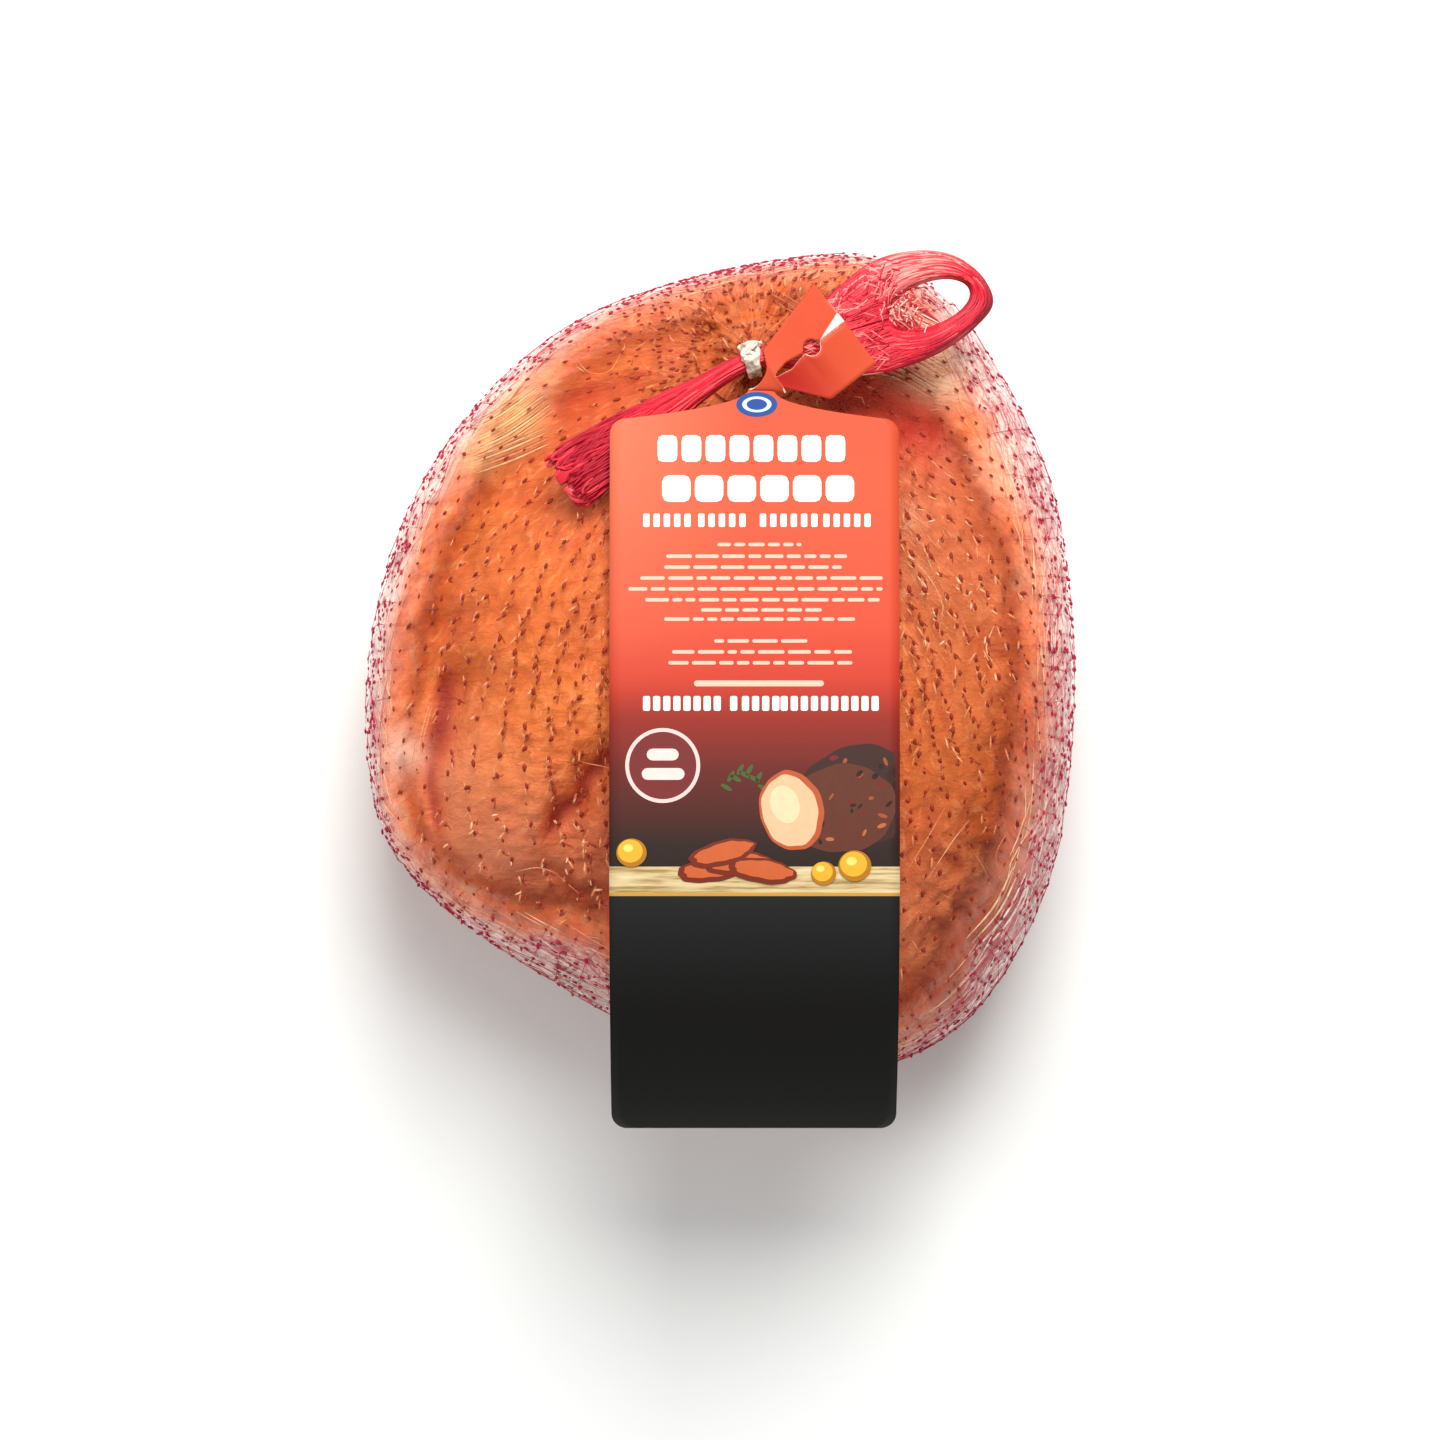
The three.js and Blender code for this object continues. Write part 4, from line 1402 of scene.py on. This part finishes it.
paths, tones = loop_thread_paths()
loop_threads = threads("loop_threads", paths, 0.3, tones, up=(0, 0, 1), flat=0.5)
paths, tones = loop_snag_paths()
loop_snags = threads("loop_snags", paths, 0.27, tones, up=(0, 0, 1), flat=0.5)
loop_thread_look = strand_look(
    "loop_thread", (0.0, 176, 6, 38), (0.35, 216, 20, 50), (0.65, 234, 60, 72), (1.0, 250, 158, 148),
)
loop_threads.data.materials.append(loop_thread_look)
loop_snags.data.materials.append(loop_thread_look)


def loop_web_paths():
    """Threads that cross the end of the eye next to the clip from side to side, and short scraps there"""
    draw = random.Random(8)
    paths = []
    tones = []
    t = np.linspace(0, 1, web_points)[:, None]
    for strand in range(web_strands):
        lean = draw.uniform(-0.09, 0.09)
        start = eye_start + 0.1 * draw.random() ** 1.6
        end = 1 - eye_start - max(0.0, min(0.13, start - eye_start + lean))
        a, b = loop_at(np.array([start, end]), np.array([0.06, 0.06]), np.array([0.5, 0.5]))
        bow = np.array([draw.gauss(0, 0.5), 0, draw.uniform(-0.8, 0.6)]) * MM
        paths.append(a + (b - a) * t + bow * np.sin(t * math.pi))
        tones.append(draw.uniform(0.3, 1))
    for scrap in range(web_scraps):
        x, y, turn = draw.gauss(42.5, 3.6), draw.gauss(84.2, 3.0), draw.uniform(0, math.pi)
        middle = np.array([x, y, loop_height(x) + 0.4 + draw.uniform(-0.6, 1.6)])
        way = np.array([math.cos(turn), math.sin(turn), draw.gauss(0, 0.2)]) * draw.uniform(0.5, 1.6)
        paths.append((middle + way * (2 * t - 1)) * MM)
        tones.append(draw.choice([draw.uniform(0.65, 0.95), draw.uniform(0, 0.5)]))
    return paths, tones


paths, tones = loop_web_paths()
loop_web = threads("loop_web", paths, 0.17, tones, up=(0.3, 0, 0.95))
loop_web.data.materials.append(strand_look(
    "web_thread", (0.0, 190, 10, 40), (0.6, 226, 74, 80), (0.8, 248, 178, 160), (1.0, 255, 226, 212),
))
for piece in (loop_core, loop_threads, loop_snags, loop_web):
    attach(piece, "root")
    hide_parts("net_loop")

# The clip
# A short length of flat aluminium wire, bent round the drawn net and crimped shut underneath. It is
# dull and a little dented by the jaws of the clipping machine.
clip_middle = (7.6, 71.2, 98.8)
clip_long, clip_high, clip_band, clip_wire = 8.6, 6.8, 4.2, 1.2
clip_gap = 1.4
clip_lean = math.radians(12)


def clip_at(across, along):
    half_long = (clip_long - clip_wire) / 2
    half_high = (clip_high - clip_wire) / 2
    start = -math.pi / 2 + clip_gap / half_long / 2
    turn = start + along * (math.tau - clip_gap / half_long)
    # A flat section with rounded corners, and dents in it
    section = across * math.tau
    wide = np.sign(np.cos(section)) * np.abs(np.cos(section)) ** 0.35 * clip_band / 2
    thick = np.sign(np.sin(section)) * np.abs(np.sin(section)) ** 0.6 * clip_wire / 2
    dent = 0.22 * np.sin(turn * 3 + 1) * np.cos(wide * 1.4)
    dent += 0.1 * np.sin(turn * 9 + wide) + 0.1 * np.sin(turn * 5 + 2 * wide)
    ends = np.clip(np.minimum(along, 1 - along) * 30, 0, 1) ** 0.5
    thick = (thick + np.where(thick > 0, dent, 0.2 * dent)) * (0.5 + 0.5 * ends)
    wide = wide * (1 + 0.3 * np.cos(turn) + 0.08 * np.sin(turn * 6)) * (0.8 + 0.2 * ends)
    y = (half_long + thick) * np.cos(turn)
    z = (half_high + thick) * np.sin(turn)
    x = wide * math.cos(clip_lean) - y * math.sin(clip_lean)
    y = wide * math.sin(clip_lean) + y * math.cos(clip_lean)
    return (np.stack([x, y, z], -1) + np.array(clip_middle)) * MM


clip = sheet("clip_wire", 36, 90, clip_at)
with editing(clip):
    bpy.ops.mesh.select_all(action="DESELECT")
    bpy.ops.mesh.select_non_manifold()
    bpy.ops.mesh.fill()
    bpy.ops.mesh.select_all(action="SELECT")
    bpy.ops.mesh.normals_make_consistent(inside=False)
look = Look("dull_aluminium")
scuffs = look.noise(1, 3, 0.6, place=look.stretched((900, 2600, 900), 12))
# Dark blotches painted on the metal stand in for shade in its crevices
crevice_shade = look.ramp(look.noise(420, 3, 0.6), (0.4, 0.7), (0.5, 0.0))
pale_metal = look.blend(scuffs, rgb(255, 240, 214), rgb(226, 206, 180))
look.set(Base_Color=look.blend(crevice_shade, pale_metal, rgb(120, 92, 76)), Metallic=0.7)
look.set(Roughness=look.math("ADD", look.math("MULTIPLY", scuffs, 0.25), 0.24))
look.set(Normal=look.bump(look.noise(900, 3, 0.6), 0.35, 0.0005))
clip.data.materials.append(look.material)
# The wire's two ends, twisted over each other on top
clip_end_lines = [
    [(5.4, 70.6, 101.0), (6.6, 72.6, 101.7), (8.6, 74.4, 101.6), (10.0, 75.2, 100.6)],
    [(9.4, 69.0, 100.6), (8.6, 71.0, 101.6), (7.0, 73.6, 101.5), (5.8, 75.0, 100.4)],
]
end_points = 24
end_paths = [curve_through(line, end_points) * MM for line in clip_end_lines]
end_taper = 0.35 + 0.65 * np.sin(np.linspace(0.2, 2.6, end_points))
end_taper += 0.12 * np.sin(np.linspace(0, 25, end_points))
clip_ends = threads("clip_ends", end_paths, 0.8 * end_taper, up=(0, 0, 1), sides=8, flat=0.6)
clip_ends.data.materials.append(look.material)
for piece in (clip, clip_ends):
    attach(piece, "root")
    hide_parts("clip")

# The tag
# One strip of printed card that lies down the middle of the joint. Its narrow neck turns to a tab with
# a hole and a slit, which is pushed over the root of the loop, so that one half of the tab stands up.
tag_card = 0.5
tag_width, tag_middle, tag_low, tag_high, tag_corner = 69, 8.2, -114, 57, 3.8
crest_at, crest, curl = -46, 108.4, 96
shoulder, shoulder_drop, neck_half = 7, 8.4, 3.2
head_turn = math.radians(52)
head_end = np.array((29.7, 79.9, 101.8))
head_long, head_half, head_upper_half = 21, 12.5, 11.9
head_hole = 2.1
hole_share = 0.53
head_way = np.array((math.sin(head_turn), math.cos(head_turn), 0))
slit_from = 0.02


def panel_height(y):
    """How high the card lies: down in a curl below its crest, and falling to its neck above it"""
    y = np.asarray(y, float)
    share = np.clip((y - crest_at) / (tag_high + shoulder - crest_at), 0, 1)
    fall = np.clip(crest_at - y, 0, curl)
    curled = crest - curl + np.sqrt(curl**2 - fall**2)
    return np.where(y < crest_at, curled, crest - shoulder_drop * share**1.6)


def tag_rows():
    """The card row by row: the middle, the turn and half the width, and the share along the tab"""
    rows = []
    corner = np.linspace(0.08, 1, 9)
    low = tag_low + tag_corner * (1 - np.cos(corner * math.pi / 2))[:-1]
    high = tag_high - tag_corner + tag_corner * np.sin(corner * math.pi / 2)[:-1]
    panel = np.linspace(tag_low + tag_corner, tag_high - tag_corner, 120)
    for y in [*low, *panel, *high]:
        into = max(0, tag_low + tag_corner - y, y - tag_high + tag_corner)
        cut = tag_corner - math.sqrt(max(0, tag_corner**2 - into**2))
        rows.append(((tag_middle, y, float(panel_height(y))), 0, [tag_width / 2 - cut] * 2, -1))
    for share in np.linspace(0, 1, 18):
        y = tag_high + share * shoulder
        reach = neck_half + (tag_width / 2 - tag_corner - neck_half) * (1 - share) ** 2.2
        rows.append(((tag_middle + share * 1.8, y, float(panel_height(y))), 0, [reach] * 2, -1))
    start = np.array(rows[-1][0])
    end = head_end - head_way * head_long
    for share in np.linspace(0, 1, 14)[1:-1]:
        bow = np.array([1.2, -0.9, 0]) * math.sin(share * math.pi)
        middle = start + (end - start) * share + bow
        rows.append((tuple(middle), head_turn * eased(share), [neck_half] * 2, -1))
    root = 6.2
    for share in np.linspace(0, 1, 44):
        upper = neck_half + (root - neck_half) * min(1, share / 0.08) + (head_upper_half - root) * share
        lower = neck_half + (head_half - neck_half) * min(1, share / 0.34)
        middle = head_end - head_way * head_long * (1 - share)
        rows.append((tuple(middle), head_turn, [upper, lower], share))
    return rows


tag_middles, tag_turns, tag_reach, tag_shares = (np.array(column) for column in zip(*tag_rows()))


def slit_gap(share):
    """Half the opening between the two halves of the tab, with the round hole in its middle"""
    from_hole = (share - hole_share) * head_long
    hole = np.sqrt(np.clip(head_hole**2 - from_hole**2, 0, None))
    wedge = 1.1 * np.clip(1 - np.abs(share - 0.2) / 0.26, 0, 1)
    return np.where(share > slit_from, np.maximum(np.maximum(hole, wedge), 0.12), 0)


def half_tag(hand):
    """A rule for one half of the card's width, with hand 1 for the right one and -1 for the left"""
    def place(across, along):
        row = np.rint(along * (len(tag_middles) - 1)).astype(int)
        gap = slit_gap(tag_shares[row])
        reach = gap + (tag_reach[row, (hand + 1) // 2] - gap) * across
        side = np.stack([np.cos(tag_turns[row]), -np.sin(tag_turns[row]), np.zeros(len(row))], -1)
        points = tag_middles[row] + side * (hand * reach)[:, None]
        share = np.clip((tag_shares[row] - slit_from) / (1 - slit_from), 0, 1)
        if hand > 0:
            lift = 3.4 * np.sin(np.clip(share * 1.6, 0, 1) * math.pi / 2) * (1 - 0.6 * share)
            points[:, 2] += lift * (1 - across) ** 1.4
        else:
            points[:, 2] += 2.4 * share**4 * (1 - across) ** 3 - 0.5 * np.sin(share * math.pi) * (1 - across)
        return points * MM
    return place


def weld_facing_up(piece, apart):
    """Welds a flat piece's points, and turns all its faces up"""
    with editing(piece):
        bpy.ops.mesh.remove_doubles(threshold=apart)
        bpy.ops.mesh.normals_make_consistent(inside=False)
    if sum(polygon.normal.z for polygon in piece.data.polygons) < 0:
        with editing(piece):
            bpy.ops.mesh.flip_normals()


tag = sheet("tag_card", 12, len(tag_middles) - 1, half_tag(1))
other_half = sheet("tag_left", 12, len(tag_middles) - 1, half_tag(-1))
pick(tag)
other_half.select_set(True)
bpy.ops.object.join()
weld_facing_up(tag, 0.01 * MM)


board_top, board_edge, black_top = -49.8, -56.0, -56.8
tab_from = 61.2


def tag_face_look():
    """Printed fields: an orange red panel, a deep red change, a charcoal picture, a pale board, black,
    with painted light on the upper left, painted shade and a painted highlight on the tab, and a painted
    sheen on the black
    """
    look = Look("printed_card")
    place = look.node("ShaderNodeSeparateXYZ", {"Vector": look.place()})
    x, y = place.outputs["X"], place.outputs["Y"]
    down = look.math("MULTIPLY_ADD", y, -1 / (180 * MM), 0.52)
    fields = look.ramp(
        down, (0.00, 206, 74, 42), (0.17, 203, 77, 47), (0.30, 206, 82, 50), (0.47, 206, 74, 50),
        (0.55, 190, 56, 38), (0.60, 140, 40, 30), (0.67, 96, 34, 28), (0.77, 42, 30, 26),
    )
    left = look.math("MULTIPLY_ADD", x, -1 / (60 * MM), 0.1, clamp=True)
    high = look.math("MULTIPLY_ADD", y, 1 / (70 * MM), 0.15, clamp=True)
    lit_corner = look.math("MULTIPLY", look.math("MULTIPLY", left, high), 1.3, clamp=True)
    # On the tab: how far towards its end from the hole, and how far to its upper side from the slit
    hole = head_end - head_way * head_long * (1 - hole_share)
    way_x, way_y = head_way[:2]
    out = look.math("MULTIPLY_ADD", x, way_x / MM, -hole @ head_way)
    out = look.math("MULTIPLY_ADD", y, way_y / MM, out)
    up = look.math("MULTIPLY_ADD", x, -way_y / MM, hole[0] * way_y - hole[1] * way_x)
    up = look.math("MULTIPLY_ADD", y, way_x / MM, up)
    past_hole = look.math("GREATER_THAN", out, -11.0)
    on_tab = look.math("MULTIPLY", past_hole, look.math("GREATER_THAN", y, tab_from * MM))
    shaded = look.math("MULTIPLY_ADD", out, -0.07, 0.25, clamp=True)
    shaded = look.math("MULTIPLY", look.math("LESS_THAN", up, 0), shaded)
    shining = look.math("MULTIPLY_ADD", out, 0.9, look.math("MULTIPLY_ADD", up, -2.6, -1.2), clamp=True)
    shining = look.math("MULTIPLY", shining, look.math("GREATER_THAN", up, 0.15))
    # Painted light on the card's upper left corner, painted shade on the tab's lower half, and a painted
    # highlight where its upper half curls up by the slit
    fields = look.layered(fields, [
        (lit_corner, (222, 124, 92)),
        (look.math("MULTIPLY", on_tab, shaded), (176, 26, 24)),
        (look.math("MULTIPLY", on_tab, shining), (255, 240, 226)),
    ])
    grain = look.noise(1, 3, 0.6, place=look.stretched((60, 900, 60), 2))
    wood = look.ramp(grain, (0.35, 156, 126, 76), (0.5, 200, 178, 130), (0.68, 224, 206, 162))
    fields = look.blend(look.math("LESS_THAN", y, board_top * MM), fields, wood)
    fields = look.blend(look.math("LESS_THAN", y, board_edge * MM), fields, rgb(196, 146, 62))
    # A painted sheen: the black grows lighter towards its top
    sheen = look.math("MULTIPLY_ADD", y, 1 / (28 * MM), 3.0, clamp=True)
    black = look.blend(sheen, rgb(12, 11, 9), rgb(30, 31, 32))
    fields = look.blend(look.math("LESS_THAN", y, black_top * MM), fields, black)
    look.set(Base_Color=fields, Roughness=0.5, Specular_IOR_Level=0.2)
    look.set(Normal=look.bump(look.noise(520, 3, 0.6), 0.08, 0.0004))
    return look.material


tag.data.materials.append(tag_face_look())
look = Look("bare_card")
fibre = look.noise(900, 3, 0.6)
look.set(Base_Color=look.blend(fibre, rgb(246, 214, 200), rgb(226, 186, 172)), Roughness=0.8)
tag.data.materials.append(look.material)
thickness = tag.modifiers.new("card", "SOLIDIFY")
thickness.thickness = tag_card * MM
thickness.offset = 0
thickness.material_offset = 1
thickness.material_offset_rim = 1
apply_all(tag)
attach(tag, "root")
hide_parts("tag")

# The print on the tag
# Ink laid on the card: pale word blocks with no lettering, a ring, a small blue seal, and a picture of
# a cut joint with slices, yellow fruit and a sprig on its board.


picture_right = 41.6
white = rgb(255, 244, 232)
pale = rgb(250, 186, 164)


class Print:
    """Flat shapes of ink, bent over the card, each layer a little above the one before"""

    def __init__(self):
        self.points = []
        self.faces = []
        self.inks = []

    def grid(self, x, y, ink, layer):
        start = len(self.points)
        rows, columns = x.shape
        z = panel_height(y) + tag_card / 2 + 0.03 + 0.02 * layer
        self.points += np.stack([x, y, z], -1).reshape(-1, 3).tolist()
        self.inks += [ink] * (rows * columns)
        for row in range(rows - 1):
            for column in range(columns - 1):
                a = start + row * columns + column
                self.faces.append((a, a + 1, a + columns + 1, a + columns))

    def bar(self, left, right, low, high, ink, layer=1, roundness=1.0):
        """A bar with round ends"""
        radius = min(high - low, right - left) / 2 * roundness
        inner = np.linspace(-1, 1, 9)
        rows = np.sin(np.linspace(-1, 1, 7) * math.pi / 2)
        y = (low + high) / 2 + rows * (high - low) / 2
        into = np.clip(np.maximum(low + radius - y, y - high + radius), 0, radius)
        half = (right - left) / 2 - radius + np.sqrt(np.clip(radius**2 - into**2, 0, None))
        half = np.maximum(half, 0.02)
        x = (left + right) / 2 + half[:, None] * inner[None, :]
        self.grid(x, np.broadcast_to(y[:, None], x.shape), ink, layer)

    def blocks(self, left, right, low, high, wide, step):
        """A row of plain blocks, as many as two ends leave room for"""
        x = left
        while x < right - 0.6:
            self.bar(x, x + wide, low, high, white, 1, 0.4)
            x += step

    def oval(self, middle, half, ink, layer=1, turn=0.0, hollow=0.0, wobble=0.0):
        """A filled oval, or a ring where hollow is the share of it that is open"""
        angles = np.linspace(0, math.tau, 49)
        shares = np.linspace(hollow, 1, 5)[:, None]
        rough = 1 + wobble * (np.sin(angles * 5 + 1) + 0.6 * np.sin(angles * 11 + middle[0]))
        long = half[0] * np.cos(angles) * rough * shares
        wide = half[1] * np.sin(angles) * rough * shares
        c, s = math.cos(math.radians(turn)), math.sin(math.radians(turn))
        x = np.minimum(middle[0] + long * c - wide * s, picture_right)
        y = middle[1] + long * s + wide * c
        self.grid(x, y, ink, layer)

    def finish(self, name):
        piece = mesh_piece(name, (np.array(self.points) * MM).tolist(), self.faces)
        ink = piece.data.attributes.new("ink", "FLOAT_COLOR", "POINT")
        ink.data.foreach_set("color", np.array(self.inks).ravel())
        weld_facing_up(piece, 0.001 * MM)
        return piece


ink = Print()
# Heading: two lines of plain blocks, then one thinner line
draw = random.Random(4)
for left, right, low, high, blocks in [(-15.4, 30.4, 46.6, 53.0, 8), (-14.3, 32.5, 37.0, 43.4, 6)]:
    wide = (right - left) / blocks
    for block in range(blocks):
        ink.bar(left + wide * block + 0.5, left + wide * (block + 1) - 0.5, low, high, white, 1, 0.5)
for left, right in [(-18.3, -7.0), (-5.2, 6.4), (9.5, 22.6), (24.6, 36.8)]:
    ink.blocks(left, right, 31.0, 34.2, 1.5, 2.45)
# Small print: each line is a row of words at a height, between two ends
small_lines = [
    (26.8, -0.6, 19.4), (24.0, -12.8, 30.4), (21.4, -13.3, 29.0), (18.8, -19.0, 38.7), (16.2, -21.8, 38.7),
    (13.6, -17.8, 38.0), (11.2, -4.5, 24.2), (9.0, -13.3, 33.8), (3.8, -1.4, 20.9), (1.2, -11.4, 31.4),
    (-1.4, -12.3, 32.8),
]
for y, left, right in small_lines:
    x = left
    while x < right - 1:
        word = min(draw.uniform(2.2, 6.5), right - x)
        ink.bar(x, x + word, y - 0.42, y + 0.42, pale)
        x += word + 0.75
ink.bar(-6.2, 24.7, -7.0, -5.6, pale)
for left, right in [(-18.3, 1.2), (2.4, 4.2), (5.2, 13.2), (14.4, 38.4)]:
    ink.blocks(left, right, -12.8, -9.3, 1.7, 2.4)
# The badge
ink.oval((-13.6, -25.8), (8.9, 8.9), rgb(240, 196, 190), 2, hollow=0.9)
ink.oval((-13.6, -25.8), (8.0, 8.0), rgb(112, 40, 40), 1)
ink.bar(-17.4, -9.8, -24.6, -21.8, rgb(240, 206, 198), 2)
ink.bar(-18.6, -8.4, -29.2, -26.4, rgb(240, 206, 198), 2)
# The picture: a dark crusted roast, its cut face, slices, fruit and a sprig
ink.oval((33, -33), (15, 12), rgb(58, 34, 28), 1, 12, wobble=0.02)
ink.oval((29, -36), (13, 10.5), rgb(92, 46, 32), 2, 8, wobble=0.02)
for step in range(26):
    x, y = draw.uniform(19, 41), draw.uniform(-44, -24)
    tint = draw.choice([rgb(150, 74, 44), rgb(38, 26, 24), rgb(176, 96, 52), rgb(112, 32, 30)])
    ink.oval((x, y), (draw.uniform(0.4, 1.2), draw.uniform(0.3, 0.7)), tint, 3, draw.uniform(0, 180))
ink.oval((17, -36.5), (7.6, 9.6), rgb(176, 82, 46), 4, 14, wobble=0.015)
ink.oval((16.6, -36.6), (6.6, 8.6), rgb(226, 178, 138), 5, 14, wobble=0.02)
ink.oval((15.4, -35.0), (3.4, 4.6), rgb(238, 200, 160), 6, 20)
for step, (x, y, turn) in enumerate([(-2, -50.5, 8), (4, -49.0, 2), (10, -50.8, -8), (0.5, -46.6, 14)]):
    ink.oval((x, y), (8.2, 3.0), rgb(112, 40, 24), 7 + 2 * step, turn, wobble=0.03)
    ink.oval((x + 0.3, y + 0.3), (7.0, 2.1), rgb(190, 92, 48), 8 + 2 * step, turn, wobble=0.05)
for x, y, size in [(-21.0, -46.5, 3.6), (32.0, -49.6, 3.9), (24.6, -51.4, 3.0)]:
    ink.oval((x, y), (size, size * 0.94), rgb(170, 112, 24), 15)
    ink.oval((x - 0.3, y + 0.4), (size * 0.82, size * 0.76), rgb(222, 166, 46), 16)
    ink.oval((x - 0.8, y + 1.1), (size * 0.32, size * 0.26), rgb(244, 208, 110), 17)
for step in range(9):
    x, y = 1.5 + step * 1.1, -31.0 + 3.0 * math.sin(step * 0.4) + (step % 2) * 1.4
    ink.oval((x, y), (1.5, 0.55), rgb(74, 86, 44), 3, 60 if step % 2 else -30)
# The seal at the top
ink.oval((8.8, 60.4), (4.9, 3.0), rgb(12, 66, 140), 1)
ink.oval((8.8, 60.4), (3.5, 1.9), rgb(196, 214, 236), 2, hollow=0.7)

tag_print = ink.finish("tag_print")
look = Look("ink")
fleck = look.math("MULTIPLY_ADD", look.noise(500, 2, 0.5), 0.16, 0.92)
colour = look.node("ShaderNodeAttribute", attribute_name="ink").outputs["Color"]
flecks = look.node("ShaderNodeCombineColor", {0: fleck, 1: fleck, 2: fleck}).outputs[0]
look.set(Base_Color=look.blend(1.0, colour, flecks, "MULTIPLY"), Roughness=0.48, Specular_IOR_Level=0.22)
tag_print.data.materials.append(look.material)
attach(tag_print, "root")
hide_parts("tag")

# The table, the camera and the light
# The pack lies on a white table, and the camera hangs straight above it. A large soft light stands beyond
# the clipped end, a little to the right, so that the shadow falls towards the tag's end. A small one on
# the left and the white room fill the shadow in.
camera_height = 1300 * MM
camera_aim_y = -15 * MM
view_width = 360 * MM
view_level = 45 * MM
sensor_width = 36

deselect_all()
bpy.ops.object.camera_add(location=(0, camera_aim_y, camera_height), rotation=(0, 0, 0))
camera = bpy.context.object
camera.name = "camera"
camera.data.sensor_width = sensor_width
camera.data.lens = sensor_width * (camera_height - view_level) / view_width
camera.data.clip_start = 0.01
scene.camera = camera

bpy.ops.mesh.primitive_plane_add(size=6)
table = bpy.context.object
table.name = "table"
look = Look("white_table")
look.set(Base_Color=(0.84, 0.866, 0.858, 1), Roughness=0.7, Specular_IOR_Level=0.2)
table.data.materials.append(look.material)


def soft_light(name, place, aim, size, power, colour):
    bpy.ops.object.light_add(type="AREA", location=place)
    lamp = bpy.context.object
    lamp.name = name
    lamp.rotation_euler = (Vector(aim) - Vector(place)).to_track_quat("-Z", "Y").to_euler()
    lamp.data.shape = "RECTANGLE"
    lamp.data.size, lamp.data.size_y = size
    lamp.data.energy = power
    lamp.data.color = colour


soft_light("window", (0.17, 1.08, 1.5), (0, 0, 0.03), (0.8, 1.3), 42.5, (1.0, 0.98, 0.95))
soft_light("left_card", (-0.9, 0.2, 0.8), (0, 0, 0.05), (0.5, 0.5), 2.5, (1.0, 0.99, 0.98))

world = bpy.data.worlds.new("studio")
world.use_nodes = True
room = world.node_tree.nodes["Background"]
room.inputs["Color"].default_value = (1.0, 1.0, 1.0, 1)
room.inputs["Strength"].default_value = 0.48
scene.world = world
scene.view_settings.view_transform = "Standard"

# The form was only there to lay the meat, the film and the net on
bpy.data.objects.remove(form)
